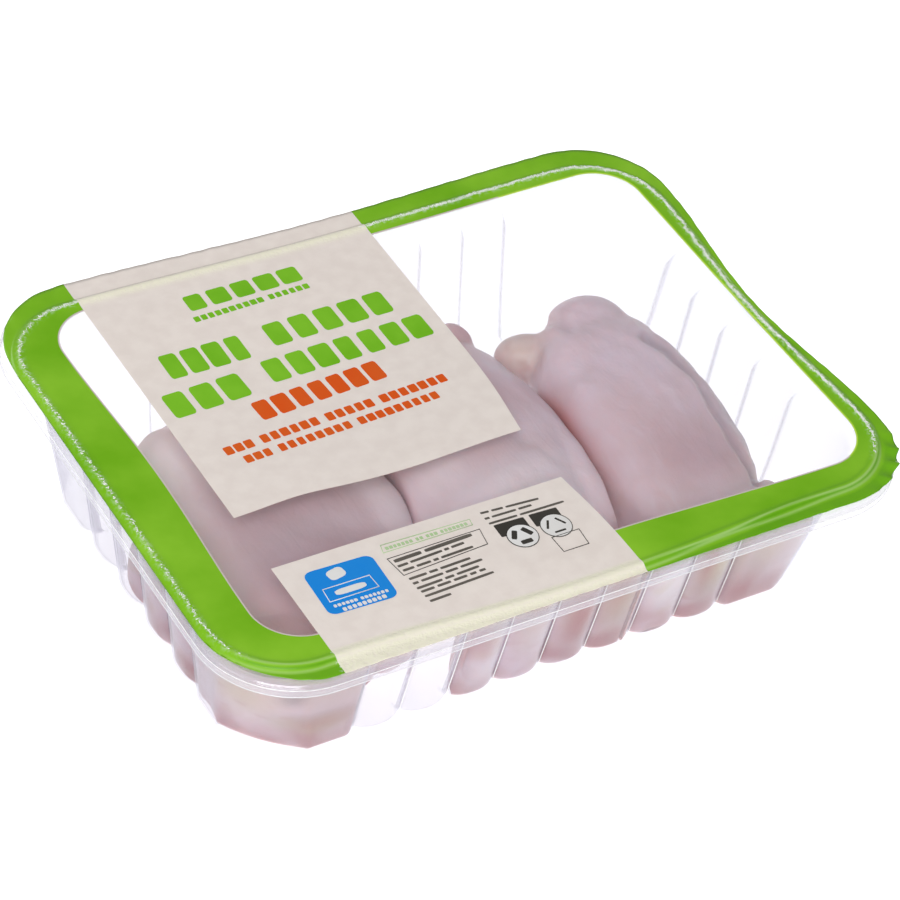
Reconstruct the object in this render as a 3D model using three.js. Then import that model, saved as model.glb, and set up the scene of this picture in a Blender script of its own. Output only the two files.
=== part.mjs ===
// A sealed tray pack of raw chicken thighs. Millimetres, +Z up.
// Three skin-on thighs lie side by side in a clear thermoformed tray with ribbed walls.
// A printed lidding film is sealed to a bead that runs round the tray's rim.
// The origin is the middle of the pack, on the surface that it stands on.
// +X runs along the long front side to the right, and +Y goes to the back.

import * as THREE from 'three';

// Rim: the outermost edge of the tray's turned-down lip
const RIM_LENGTH = 227;
const RIM_WIDTH = 176.2;
const RIM_CORNER_RADIUS = 28.6;
const RIM_BOW = { front: 0, right: -5.4, back: -1.8, left: 0 };
const RIM_ROUNDING = 1.4;
const LIP_SLOPE = 0.5;
const LIP_DROP = 6.4;

// Seal: the middle of the raised bead that carries the film
const SEAL_HEIGHT = 51;
const SEAL_LENGTH = 217.9;
const SEAL_WIDTH = 158.4;
const SEAL_CORNER_RADIUS = 23.4;
const SEAL_CENTRE = new THREE.Vector2(-0.9, -1.4);
const SEAL_BOW = { front: 3.5, right: -3.3, back: -1.4, left: 0 };
const BEAD_HEIGHT = 1.2;
const BEAD_HALF_WIDTH = 1.1;
const FLANGE_INNER_INSET = 2.4;
const FLANGE_FALL = 0.8;

// Walls: insets are measured in from the seal line to the ribs' crests
const SHEET = 0.6;
const FLOOR_INSET = 10.3;
const WALL_TOP_INSET = 4.2;
const WALL_TOP_DROP = 8.2;
const SHOULDER_INSET = 3.5;
const SHOULDER_DROP = 4.5;
const FLOOR_EDGE_RADIUS = 3.2;
const FLOOR_BORDER = 5.5;
const FLOOR_CORNER_RADIUS = 20;
const FLOOR_CORNER_FLATNESS = 0.75;
const RIB_DEPTH = 4.8;
const RIB_DEPTH_AT_SHOULDER = 0.8;
const LONG_RIBS = { count: 8, pitch: 15.53 };
const SHORT_RIBS = { count: 4, pitch: 17.3 };
const NOTCH_STEPS = [0, 0.1, 0.24, 0.76, 0.9];
const NOTCH_HALF_WIDTH = 0.24;
const NOTCH_SHARPNESS = 1.4;
const CORNER_STEPS = 6;

// Film: cut a little inside the rim, and standing out a little at the right front corner
const FILM_THICKNESS = 0.3;
const FILM_LENGTH = 225.4;
const FILM_WIDTH = 174.5;
const FILM_CENTRE = new THREE.Vector2(0.8, 0.3);
const FILM_CORNER_RADIUS = 27.2;
const FILM_BOW = { front: 0, right: -5.4, back: -2.2, left: 0 };
const FILM_CORNER_OVERHANG = 1.4;
const FILM_BEAD_DROP = 0.3;
const FILM_EDGE_DROP = 1.1;
const FILM_SAG = 0.5;
const FILM_BORDER = 12.5;
const FILM_STEPS = { side: 6, corner: 8, pitchesPastEnd: 0.6 };
const GAP = 0.3;

// Thighs: sizes of each whole thigh before it presses on the tray and its neighbours.
// A lobe swells or dents it round a direction, by its height in millimetres.
const THIGHS = [
  {
    name: 'thigh_left', centre: [-60, -14.5, 21], half: [35.4, 55.4, 21], yaw: -2, square: 2.8,
    backTaper: 0.05, frontTaper: 0.25, lean: -0.08,
    lobes: [{ turn: 150, along: 50, width: 34, height: 1.8 }],
  },
  {
    name: 'thigh_middle', centre: [2.7, -12, 22], half: [37.2, 56.3, 22.7], yaw: -13, square: 2.4,
    backTaper: 0.35, frontTaper: 0.1, lean: 0.02,
    lobes: [{ turn: 40, along: 22, width: 20, height: 6.4 }],
  },
  {
    name: 'thigh_right', centre: [59, -12.7, 22], half: [30, 58, 22.7], yaw: -5, square: 2.3,
    backTaper: 0.12, frontTaper: 0, lean: 0.08,
    lobes: [
      { turn: 150, along: 30, width: 24, height: -5 },
      { turn: 20, along: 30, width: 26, height: 2.7 },
      { turn: -20, along: 140, width: 30, height: 8 },
    ],
  },
];
const SWELL_LIFT = 0.3;
const THIGH_GAP = 0.6;
const THIGH_AROUND = 28;
const THIGH_ALONG = 18;
const HEADROOM = 2.3;

// Creases: how far each line between two thighs bends from its middle
const LEFT_CREASE = { x: -25.4, frontBend: 16, frontFrom: 13, frontTo: 73, backBend: 7, backTo: 50 };
const RIGHT_CREASE = { x: 36.3, curve: 0.00154, middle: 7 };

const SIDES = [
  { name: 'front', normal: [0, -1], step: [1, 0], ribs: LONG_RIBS },
  { name: 'right', normal: [1, 0], step: [0, 1], ribs: SHORT_RIBS },
  { name: 'back', normal: [0, 1], step: [-1, 0], ribs: LONG_RIBS },
  { name: 'left', normal: [-1, 0], step: [0, -1], ribs: SHORT_RIBS },
];

// How deep the wall is notched at a place along a side: 1 in the notch, 0 on a rib's face
function notchDepth(along, ribs) {
  const fromNotch = Math.abs(along / ribs.pitch - Math.round(along / ribs.pitch));
  const insideRibs = Math.abs(along) < (ribs.count / 2 + NOTCH_HALF_WIDTH) * ribs.pitch;
  if (!insideRibs || fromNotch >= NOTCH_HALF_WIDTH) return 0;
  return Math.pow(1 - fromNotch / NOTCH_HALF_WIDTH, NOTCH_SHARPNESS);
}

// Places round the tray, anticlockwise from above: along each side, then round its corner
function ribbedStations() {
  const stations = [];
  SIDES.forEach((side, index) => {
    const { count, pitch } = side.ribs;
    const places = [-(count / 2 + NOTCH_HALF_WIDTH) * pitch];
    for (let rib = 0; rib <= count; rib += 1) {
      const steps = rib < count ? NOTCH_STEPS : [0, NOTCH_HALF_WIDTH];
      for (const step of steps) places.push((rib - count / 2 + step) * pitch);
    }
    places.forEach((along) => stations.push({ side, along, notch: notchDepth(along, side.ribs) }));
    for (let step = 0; step <= CORNER_STEPS; step += 1) {
      const angle = (index - 1 + step / CORNER_STEPS) * Math.PI / 2;
      stations.push({ corner: index, angle, turn: step / CORNER_STEPS });
    }
  });
  return stations;
}

// The same walk with fewer places, for the film, which has no ribs
function plainStations() {
  const { side: perSide, corner: perCorner, pitchesPastEnd } = FILM_STEPS;
  const stations = [];
  SIDES.forEach((side, index) => {
    const reach = side.ribs.pitch * (side.ribs.count / 2 + pitchesPastEnd);
    for (let step = 0; step <= perSide; step += 1) {
      stations.push({ side, along: reach * (2 * step / perSide - 1), notch: 0 });
    }
    for (let step = 0; step <= perCorner; step += 1) {
      const angle = (index - 1 + step / perCorner) * Math.PI / 2;
      stations.push({ corner: index, angle, turn: step / perCorner });
    }
  });
  return stations;
}

// A rounded rectangle, grown or shrunk by an offset, with sides that may bow out or in
function outline(length, width, radius, centre, bow, offset = 0, flatness = 0) {
  return {
    halfX: length / 2 + offset,
    halfY: width / 2 + offset,
    radius: Math.max(radius + offset, 1),
    centre,
    bow,
    flatness,
  };
}

const rimOutline = (offset) => outline(
  RIM_LENGTH, RIM_WIDTH, RIM_CORNER_RADIUS, new THREE.Vector2(0, 0), RIM_BOW, offset,
);
const sealOutline = (offset) => outline(
  SEAL_LENGTH, SEAL_WIDTH, SEAL_CORNER_RADIUS, SEAL_CENTRE, SEAL_BOW, offset,
);
const filmOutline = (offset) => outline(
  FILM_LENGTH, FILM_WIDTH, FILM_CORNER_RADIUS, FILM_CENTRE, FILM_BOW, offset,
);

// The walls' outline at a height: straight and cut off at the corners near the floor
function wallOutline(height, offset) {
  const rise = (height - FLOOR_EDGE_RADIUS) / (SEAL_HEIGHT - WALL_TOP_DROP - FLOOR_EDGE_RADIUS);
  const up = THREE.MathUtils.clamp(rise, 0, 1);
  const inset = THREE.MathUtils.lerp(FLOOR_INSET, WALL_TOP_INSET, up);
  const radius = THREE.MathUtils.lerp(FLOOR_CORNER_RADIUS, SEAL_CORNER_RADIUS - WALL_TOP_INSET, up);
  const bow = {};
  SIDES.forEach(({ name }) => { bow[name] = SEAL_BOW[name] * up; });
  return outline(
    SEAL_LENGTH - 2 * inset, SEAL_WIDTH - 2 * inset, radius, SEAL_CENTRE, bow, offset,
    FLOOR_CORNER_FLATNESS * (1 - up),
  );
}

// How far a side of an outline bows out at a place along it
function bowAt(shape, side, along) {
  const straight = (side.normal[0] === 0 ? shape.halfX : shape.halfY) - shape.radius;
  if (Math.abs(along) >= straight) return 0;
  return shape.bow[side.name] * Math.cos(Math.PI / 2 * along / straight) ** 2;
}

// The point of an outline at a station, set in from it by depth in the notches
function pointAt(station, shape, height, depth = 0) {
  const { halfX, halfY, radius, centre, flatness } = shape;
  if (station.side) {
    const { normal, step } = station.side;
    const across = normal[0] === 0 ? halfY : halfX;
    const out = across + bowAt(shape, station.side, station.along) - depth * station.notch;
    return new THREE.Vector3(
      centre.x + normal[0] * out + step[0] * station.along,
      centre.y + normal[1] * out + step[1] * station.along,
      height,
    );
  }
  const signX = station.corner === 0 || station.corner === 1 ? 1 : -1;
  const signY = station.corner === 1 || station.corner === 2 ? 1 : -1;
  const middle = (station.turn - 0.5) * Math.PI / 2;
  const chord = radius * Math.SQRT1_2 / Math.cos(middle);
  const reach = THREE.MathUtils.lerp(radius, chord, flatness);
  return new THREE.Vector3(
    centre.x + signX * (halfX - radius) + reach * Math.cos(station.angle),
    centre.y + signY * (halfY - radius) + reach * Math.sin(station.angle),
    height,
  );
}

// A closed skin through a stack of rings, with its two ends drawn to a point each
function skinThroughRings(rings, firstPole, lastPole) {
  const around = rings[0].length;
  const positions = [];
  const indices = [];
  rings.forEach((ring) => ring.forEach((point) => positions.push(point.x, point.y, point.z)));
  positions.push(firstPole.x, firstPole.y, firstPole.z, lastPole.x, lastPole.y, lastPole.z);
  const first = rings.length * around;
  const last = first + 1;
  for (let place = 0; place < around; place += 1) {
    const next = (place + 1) % around;
    indices.push(first, next, place);
    for (let ring = 0; ring + 1 < rings.length; ring += 1) {
      const low = ring * around;
      const high = low + around;
      indices.push(low + place, low + next, high + next, low + place, high + next, high + place);
    }
    const top = (rings.length - 1) * around;
    indices.push(last, top + place, top + next);
  }
  const geometry = new THREE.BufferGeometry();
  geometry.setAttribute('position', new THREE.Float32BufferAttribute(positions, 3));
  geometry.setIndex(indices);
  geometry.computeVertexNormals();
  return geometry;
}

// The tray: one sheet, walked under its floor, out to the lip, over the bead and back inside
function trayGeometry() {
  const stations = ribbedStations();
  const seal = SEAL_HEIGHT;
  const edge = FLOOR_EDGE_RADIUS;
  const bend = edge * (1 - Math.SQRT1_2);
  const innerBend = SHEET + (edge - SHEET) * (1 - Math.SQRT1_2);
  const wallTop = seal - WALL_TOP_DROP;
  const flange = seal - BEAD_HEIGHT;
  const brink = flange - FLANGE_FALL;
  const plan = [
    [wallOutline(0, -edge - FLOOR_BORDER), 0, 0],
    [wallOutline(0, -edge), 0, RIB_DEPTH],
    [wallOutline(0, -bend), bend, RIB_DEPTH],
    [wallOutline(edge, 0), edge, RIB_DEPTH],
    [wallOutline(wallTop, 0), wallTop, RIB_DEPTH],
    [sealOutline(-SHOULDER_INSET), seal - SHOULDER_DROP, RIB_DEPTH_AT_SHOULDER],
    [sealOutline(-FLANGE_INNER_INSET - SHEET), flange - SHEET, 0],
    [rimOutline(-RIM_ROUNDING - SHEET / 2), brink - SHEET, 0],
    [rimOutline(-SHEET), seal - LIP_DROP, 0],
    [rimOutline(0), seal - LIP_DROP, 0],
    [rimOutline(-LIP_SLOPE), brink - SHEET, 0],
    [rimOutline(-RIM_ROUNDING), brink, 0],
    [sealOutline(BEAD_HALF_WIDTH), flange, 0],
    [sealOutline(BEAD_HALF_WIDTH / 2), seal - BEAD_HEIGHT / 4, 0],
    [sealOutline(-BEAD_HALF_WIDTH / 2), seal - BEAD_HEIGHT / 4, 0],
    [sealOutline(-BEAD_HALF_WIDTH), flange, 0],
    [sealOutline(-FLANGE_INNER_INSET), flange, 0],
    [sealOutline(-SHOULDER_INSET - SHEET), seal - SHOULDER_DROP, RIB_DEPTH_AT_SHOULDER],
    [wallOutline(wallTop, -SHEET), wallTop, RIB_DEPTH],
    [wallOutline(edge, -SHEET), edge, RIB_DEPTH],
    [wallOutline(0, -innerBend), innerBend, RIB_DEPTH],
    [wallOutline(0, -edge), SHEET, RIB_DEPTH],
    [wallOutline(0, -edge - FLOOR_BORDER), SHEET, 0],
  ];
  const rings = plan.map(([shape, height, depth]) => (
    stations.map((station) => pointAt(station, shape, height, depth))
  ));
  return skinThroughRings(
    rings,
    new THREE.Vector3(SEAL_CENTRE.x, SEAL_CENTRE.y, 0),
    new THREE.Vector3(SEAL_CENTRE.x, SEAL_CENTRE.y, SHEET),
  );
}

// The film: a thin sheet, taut inside the bead, over it, and down on the flange outside it
function filmGeometry() {
  const stations = plainStations();
  const under = SEAL_HEIGHT + GAP;
  const overhang = (station) => {
    if (station.corner !== 0) return 0;
    return FILM_CORNER_OVERHANG * Math.sin(Math.PI * station.turn) ** 2;
  };
  const plan = [
    [sealOutline(-FILM_BORDER), -FILM_SAG / 2],
    [sealOutline(-BEAD_HALF_WIDTH), 0],
    [sealOutline(BEAD_HALF_WIDTH), -FILM_BEAD_DROP],
    [null, -FILM_EDGE_DROP],
  ];
  const ringAt = ([shape, drop], lift) => stations.map((station) => (
    pointAt(station, shape || filmOutline(overhang(station)), under + drop + lift)
  ));
  const below = plan.map((row) => ringAt(row, 0));
  const above = plan.map((row) => ringAt(row, FILM_THICKNESS)).reverse();
  const middle = new THREE.Vector3(SEAL_CENTRE.x, SEAL_CENTRE.y, under - FILM_SAG);
  const middleTop = middle.clone().setZ(middle.z + FILM_THICKNESS);
  return skinThroughRings([...below, ...above], middle, middleTop);
}

// The line where the left and middle thighs press together, as x at a given y
function leftCrease(y) {
  const { smoothstep } = THREE.MathUtils;
  const { x, frontBend, frontFrom, frontTo, backBend, backTo } = LEFT_CREASE;
  return x - frontBend * smoothstep(-y, frontFrom, frontTo) - backBend * smoothstep(y, 0, backTo);
}

// The line where the middle and right thighs press together
function rightCrease(y) {
  const { x, curve, middle } = RIGHT_CREASE;
  return x - curve * (y - middle) ** 2;
}

// Free space for meat: inside the walls, above the floor and under the film
function pressIntoTray(point) {
  const low = SHEET + GAP;
  const high = SEAL_HEIGHT - HEADROOM;
  const inside = point.clone();
  inside.z = THREE.MathUtils.clamp(point.z, low, high);
  const nearFloor = Math.max(FLOOR_EDGE_RADIUS - inside.z, 0);
  const rounding = nearFloor > 0
    ? FLOOR_EDGE_RADIUS - Math.sqrt(FLOOR_EDGE_RADIUS ** 2 - nearFloor ** 2)
    : 0;
  const wall = wallOutline(Math.max(inside.z, FLOOR_EDGE_RADIUS), -RIB_DEPTH - SHEET - GAP - rounding);
  const reach = THREE.MathUtils.lerp(wall.radius, wall.radius * Math.SQRT1_2, wall.flatness);
  const cornerX = wall.halfX - wall.radius;
  const cornerY = wall.halfY - wall.radius;
  const x = inside.x - wall.centre.x;
  const y = inside.y - wall.centre.y;
  const overX = Math.max(Math.abs(x) - cornerX, 0);
  const overY = Math.max(Math.abs(y) - cornerY, 0);
  if (overX > 0 && overY > 0) {
    const distance = Math.hypot(overX, overY);
    const scale = Math.min(1, reach / distance);
    inside.x = wall.centre.x + Math.sign(x) * (cornerX + overX * scale);
    inside.y = wall.centre.y + Math.sign(y) * (cornerY + overY * scale);
    return inside;
  }
  const [front, right, back, left] = SIDES;
  const lowX = -wall.halfX - Math.min(bowAt(wall, left, y), 0);
  const highX = wall.halfX + Math.min(bowAt(wall, right, y), 0);
  const lowY = -wall.halfY - Math.min(bowAt(wall, front, x), 0);
  const highY = wall.halfY + Math.min(bowAt(wall, back, x), 0);
  inside.x = wall.centre.x + THREE.MathUtils.clamp(x, lowX, highX);
  inside.y = wall.centre.y + THREE.MathUtils.clamp(y, lowY, highY);
  return inside;
}

// Between its neighbours a thigh keeps half a gap from each crease
function pressBetweenCreases(point, name) {
  const half = THIGH_GAP / 2;
  const kept = point.clone();
  if (name === 'thigh_left') kept.x = Math.min(kept.x, leftCrease(kept.y) - half);
  if (name === 'thigh_middle') kept.x = Math.max(kept.x, leftCrease(kept.y) + half);
  if (name === 'thigh_middle') kept.x = Math.min(kept.x, rightCrease(kept.y) - half);
  if (name === 'thigh_right') kept.x = Math.max(kept.x, rightCrease(kept.y) + half);
  return kept;
}

// How far the lobes of a thigh swell it in a direction, given by its two angles in degrees
function lobeSwell(lobes, turn, along) {
  return lobes.reduce((sum, lobe) => {
    const around = THREE.MathUtils.euclideanModulo(turn - lobe.turn + 180, 360) - 180;
    const across = around * Math.sin(THREE.MathUtils.degToRad(along));
    const distance = Math.hypot(across, along - lobe.along) / lobe.width;
    return sum + lobe.height * Math.exp(-distance * distance);
  }, 0);
}

// A thigh before it is packed: a plump, squarish lump that narrows to its ends by its tapers.
// Turn goes round its long axis from the right over the top, and along from back to front.
function thighPoint(thigh, turn, along) {
  const [halfX, halfY, halfZ] = thigh.half;
  const soft = (value) => Math.sign(value) * Math.abs(value) ** (2 / thigh.square);
  const end = soft(Math.cos(along));
  const round = soft(Math.sin(along));
  const taper = 1 - (end > 0 ? thigh.backTaper : thigh.frontTaper) * end * end;
  const swell = lobeSwell(thigh.lobes, THREE.MathUtils.radToDeg(turn), THREE.MathUtils.radToDeg(along));
  const across = (halfX * taper * round + swell * Math.sin(along)) * soft(Math.cos(turn));
  const depth = (halfY + swell) * end;
  const lift = (halfZ * (1 + thigh.lean * end) * round + swell * SWELL_LIFT) * soft(Math.sin(turn));
  const yaw = THREE.MathUtils.degToRad(thigh.yaw);
  return new THREE.Vector3(
    thigh.centre[0] + across * Math.cos(yaw) - depth * Math.sin(yaw),
    thigh.centre[1] + across * Math.sin(yaw) + depth * Math.cos(yaw),
    thigh.centre[2] + lift,
  );
}

function thighGeometry(thigh) {
  const packed = (turn, along) => (
    pressBetweenCreases(pressIntoTray(thighPoint(thigh, turn, along)), thigh.name)
  );
  const rings = [];
  for (let step = 1; step < THIGH_ALONG; step += 1) {
    const along = Math.PI * step / THIGH_ALONG;
    const ring = [];
    for (let place = 0; place < THIGH_AROUND; place += 1) {
      ring.push(packed(2 * Math.PI * place / THIGH_AROUND, along));
    }
    rings.push(ring);
  }
  return skinThroughRings(rings, packed(0, 0), packed(0, Math.PI));
}

// Clear thermoformed sheet
function clearSheetMaterial() {
  return new THREE.MeshStandardMaterial({
    color: 0xeef0f4, roughness: 0.12, metalness: 0, transparent: true, opacity: 0.35,
  });
}

// Printed lidding film, mostly its green border
function printedFilmMaterial() {
  return new THREE.MeshStandardMaterial({
    color: 0x7fbc2c, roughness: 0.25, metalness: 0, transparent: true, opacity: 0.6,
  });
}

// Raw chicken skin, pale pink
function rawSkinMaterial() {
  return new THREE.MeshStandardMaterial({ color: 0xd3bdc0, roughness: 0.45, metalness: 0 });
}

function namedMesh(name, geometry, material) {
  const mesh = new THREE.Mesh(geometry, material);
  mesh.name = name;
  return mesh;
}

const pack = new THREE.Group();
pack.add(namedMesh('tray', trayGeometry(), clearSheetMaterial()));
pack.add(namedMesh('film', filmGeometry(), printedFilmMaterial()));
THIGHS.forEach((thigh) => {
  pack.add(namedMesh(thigh.name, thighGeometry(thigh), rawSkinMaterial()));
});

export default pack;
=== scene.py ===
# %% [markdown]
# # A sealed tray pack of raw chicken thighs
#
# Three skin-on thighs lie side by side in a clear formed tray, under a printed film that is sealed to the
# tray's rim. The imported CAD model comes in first, as the fixed frame. Each part is then built again in the
# same place, finer and softer, and stands for its CAD node. The CAD model's box is kept, because nothing
# that is built here may grow past it.

# %% Load the frame
import math

import bmesh
import bpy
import numpy as np
from mathutils import Matrix, Vector


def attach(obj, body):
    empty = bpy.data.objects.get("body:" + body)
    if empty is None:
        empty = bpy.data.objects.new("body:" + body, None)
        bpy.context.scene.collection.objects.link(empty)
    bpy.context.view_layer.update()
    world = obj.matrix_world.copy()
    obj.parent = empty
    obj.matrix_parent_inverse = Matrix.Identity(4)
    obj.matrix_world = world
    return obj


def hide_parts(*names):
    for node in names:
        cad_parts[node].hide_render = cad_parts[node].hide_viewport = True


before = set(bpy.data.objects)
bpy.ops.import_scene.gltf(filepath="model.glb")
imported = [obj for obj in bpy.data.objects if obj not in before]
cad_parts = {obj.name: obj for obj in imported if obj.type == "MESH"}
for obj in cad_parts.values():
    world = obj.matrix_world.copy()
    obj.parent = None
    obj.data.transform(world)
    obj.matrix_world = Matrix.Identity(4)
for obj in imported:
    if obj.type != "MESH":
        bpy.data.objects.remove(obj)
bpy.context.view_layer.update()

MM = 0.001

# %% [markdown]
# ## The camera
#
# The photo looks down on the pack from its front left, through a long lens, so that its edges hardly
# converge, and the camera is rolled a few degrees. A camera can be placed by eye or by fitting known lengths
# to the picture. Here its four angles and its distance were fitted to the seal line and the ribs, so the
# numbers are simply set.

# %% Camera
LOOKED_AT = Vector((-12.98, -22.54, 51.67)) * MM
CAMERA_DISTANCE = 1.026
CAMERA_AZIMUTH, CAMERA_RISE, CAMERA_ROLL = (math.radians(a) for a in (-35.83, 41.96, -8.6))
LENS_MM = 143.2


def photo_camera():
    """Makes the camera of the photo: it stands off the pack and is rolled about its own axis."""
    back = Vector((
        math.sin(CAMERA_AZIMUTH) * math.cos(CAMERA_RISE),
        -math.cos(CAMERA_AZIMUTH) * math.cos(CAMERA_RISE),
        math.sin(CAMERA_RISE),
    ))
    level = Vector((0, 0, 1)).cross(back).normalized()
    upright = back.cross(level)
    roll = Matrix.Rotation(-CAMERA_ROLL, 3, back)
    turned = Matrix((roll @ level, roll @ upright, back)).transposed()
    data = bpy.data.cameras.new("photo_camera")
    data.lens = LENS_MM
    data.sensor_width = 36
    data.clip_end = 20
    camera = bpy.data.objects.new("photo_camera", data)
    camera.matrix_world = Matrix.Translation(LOOKED_AT + back * CAMERA_DISTANCE) @ turned.to_4x4()
    bpy.context.scene.collection.objects.link(camera)
    bpy.context.scene.camera = camera
    return camera


camera = photo_camera()
print("camera stands at", [round(c, 3) for c in camera.matrix_world.translation])

# %% [markdown]
# ## Nodes and colours
#
# Each finish below is a small tree of shader nodes. One helper adds a node with its settings and its inputs,
# where an input is a number, a colour or another node's output. Colours are picked from a screen, so they
# are written as hex values, and one function turns them into the linear light that the shaders work in.

# %% Node and colour helpers
def linear(code, alpha=1.0):
    """A hex colour such as 7fbb35 as linear red, green, blue and alpha."""
    values = [int(code[i:i + 2], 16) / 255 for i in (0, 2, 4)]
    return [v / 12.92 if v <= 0.04045 else ((v + 0.055) / 1.055) ** 2.4 for v in values] + [alpha]


def add_node(tree, kind, inputs=None, **settings):
    """Adds a node to a tree. An input's value may be a number, a colour or an output socket to link."""
    node = tree.nodes.new(kind)
    for name, value in settings.items():
        setattr(node, name, value)
    for name, value in (inputs or {}).items():
        if isinstance(value, bpy.types.NodeSocket):
            tree.links.new(value, node.inputs[name])
        else:
            node.inputs[name].default_value = value
    return node


def new_material(name):
    """An empty material with its output node and the tree to build in."""
    material = bpy.data.materials.new(name)
    material.use_nodes = True
    material.node_tree.nodes.clear()
    return material, material.node_tree


def finish_material(tree, shader):
    """Links a shader to a new output node."""
    add_node(tree, "ShaderNodeOutputMaterial", {"Surface": shader.outputs[0]})


def blend_colours(tree, factor, first, second):
    """The output of a colour mix: first where the factor is 0, second where it is 1."""
    mix = add_node(tree, "ShaderNodeMix", data_type="RGBA", inputs={0: factor, 6: first, 7: second})
    return mix.outputs[2]


# %% [markdown]
# ## The studio
#
# The pack was photographed on a bright white table, so that the clear tray nearly vanishes and hardly a
# shadow is left. A white sweep that is lit from below does this: the floor is a pale sheet with a light of
# its own. The room round it is dim, because the film's green stays deep only where it mirrors something
# dark. A wide softbox beside the camera lights the meat evenly and leaves little shadow under the panels, and
# painted light in the skin covers the rest. A small one behind makes the seal glitter, helped by painted
# sparkle on the seal, and the thighs' backs glow, and one at the left keeps the front soft.

# %% Floor, surroundings and softboxes
PACK_MIDDLE = Vector((0, 0, 0.025))
TABLE_REACH = 3
UNDER_PACK = 0.0002
TABLE_GLOW = 1.1
ROOM_GLOW = 0.29


def studio_floor():
    """A wide white table that is lit from below, a hair under the pack."""
    mesh = bpy.data.meshes.new("floor")
    corners = [(x * TABLE_REACH, y * TABLE_REACH, 0) for x, y in ((-1, -1), (1, -1), (1, 1), (-1, 1))]
    mesh.from_pydata(corners, [], [(0, 1, 2, 3)])
    floor = bpy.data.objects.new("floor", mesh)
    # Opal acrylic over lamps: a matt sheet that glows evenly, so it shows pure white and takes no hard shadow
    material, tree = new_material("white_light_table")
    shader = add_node(tree, "ShaderNodeBsdfPrincipled", {
        "Base Color": linear("909090"), "Roughness": 0.9, "Emission Color": linear("ffffff"),
        "Emission Strength": TABLE_GLOW})
    finish_material(tree, shader)
    mesh.materials.append(material)
    bpy.context.scene.collection.objects.link(floor)
    floor.location.z = -UNDER_PACK


def softbox(name, place, size, power):
    """A square area lamp that faces the pack."""
    data = bpy.data.lights.new(name, "AREA")
    data.size = size
    data.energy = power
    lamp = bpy.data.objects.new(name, data)
    lamp.location = place
    lamp.rotation_euler = (PACK_MIDDLE - Vector(place)).to_track_quat("-Z", "Y").to_euler()
    bpy.context.scene.collection.objects.link(lamp)


studio_floor()
world = bpy.data.worlds.new("dim_room")
world.use_nodes = True
world.node_tree.nodes["Background"].inputs["Color"].default_value = linear("fbfbff")
world.node_tree.nodes["Background"].inputs["Strength"].default_value = ROOM_GLOW
bpy.context.scene.world = world
softbox("softbox_front", (-0.94, -1.31, 1.7), 1.5, 40)
softbox("softbox_behind", (-0.15, 0.9, 0.75), 0.35, 1.6)
softbox("softbox_left", (-1.1, -0.1, 0.7), 0.6, 1.2)
bpy.context.scene.view_settings.view_transform = "Standard"
bpy.context.scene.cycles.transparent_max_bounces = 32
print("three softboxes over a lit white table")

# %% [markdown]
# ## Outlines round the tray
#
# Every ring of the tray and the film follows a rounded rectangle whose sides may bow out or in. A ring can be
# drawn by hand or worked out. Here a walk goes once round the pack, anticlockwise from above: along each side
# with its ribs, then round the corner after it. Any outline can then be asked for its points on that walk, so
# that rings of different sizes always match, point for point.

# %% Sizes in millimetres and the walks
# The four sides are front, right, back and left. A bow is how far the middle of each side stands out
SEAL_HEIGHT = 51.0
SHEET = 0.6
RIM = dict(size=(227, 176.2), radius=28.6, centre=(0, 0), bow=(0, -5.4, -1.8, 0))
SEAL = dict(size=(217.9, 158.4), radius=23.4, centre=(-0.9, -1.4), bow=(3.5, -3.3, -1.4, 0))
FILM = dict(size=(225.4, 174.5), radius=27.2, centre=(0.8, 0.3), bow=(0, -5.4, -2.2, 0))
WINDOW = dict(size=(199.4, 145.2), radius=14.5, centre=(3.8, 1.0), bow=(-2.4, -0.4, -1.3, -1.9))
# How many ribs each side has and how far apart, and how far its row of ribs is moved along
RIBS = ((8, 15.53), (4, 17.3), (8, 15.53), (4, 17.3))
RIB_SHIFT = (-1.5, 0.0, 0.0, 0.0)
# Half the width of the first and last notch in ribs, and the powers that round the ribs and the slack corners
NOTCH_HALF_WIDTH = 0.24
RIB_ROUNDING = 2.1
SLACK = 1.4
# The way out and the way along on each side
NORMALS = np.array([(0, -1), (1, 0), (0, 1), (-1, 0)], float)
STEPS = np.array([(1, 0), (0, 1), (-1, 0), (0, -1)], float)


def outline(shape, offset=0.0, flatness=(0.0, 0.0, 0.0, 0.0)):
    """A rounded rectangle grown by an offset, whose four corners may be flattened."""
    return dict(
        half=np.array(shape["size"]) / 2 + offset,
        radius=max(shape["radius"] + offset, 1.0),
        centre=np.array(shape["centre"], float),
        bow=np.array(shape["bow"], float),
        flatness=np.array(flatness),
    )


def notch_depth(along, side):
    """How deep a side's wall is set in at a place along it: 1 in a notch, 0 on the middle of a round rib."""
    count, pitch = RIBS[side]
    pitches = np.abs(np.asarray(along) - RIB_SHIFT[side]) / pitch
    away = np.abs(pitches - np.round(pitches)) / np.where(pitches > count / 2, NOTCH_HALF_WIDTH, 0.5)
    in_ribs = pitches < count / 2 + NOTCH_HALF_WIDTH
    bulge = (1 - np.clip(1 - away, 0, 1) ** RIB_ROUNDING) ** (1 / RIB_ROUNDING)
    return np.where(in_ribs, 1 - bulge, 0.0)


def walk(side_places, corner_steps):
    """The stations of one walk. side_places(side) gives rows of millimetres along and share of the straight."""
    rows = []
    for side in range(4):
        for along, share in side_places(side):
            rows.append((side, along, share, -1.0, float(notch_depth(along, side)) if share == 0 else 0.0))
        for step in range(corner_steps + 1):
            rows.append((side, 0.0, 0.0, step / corner_steps, 0.0))
    table = np.array(rows)
    return dict(side=table[:, 0].astype(int), along=table[:, 1], share=table[:, 2],
                turn=table[:, 3], notch=table[:, 4])


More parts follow.
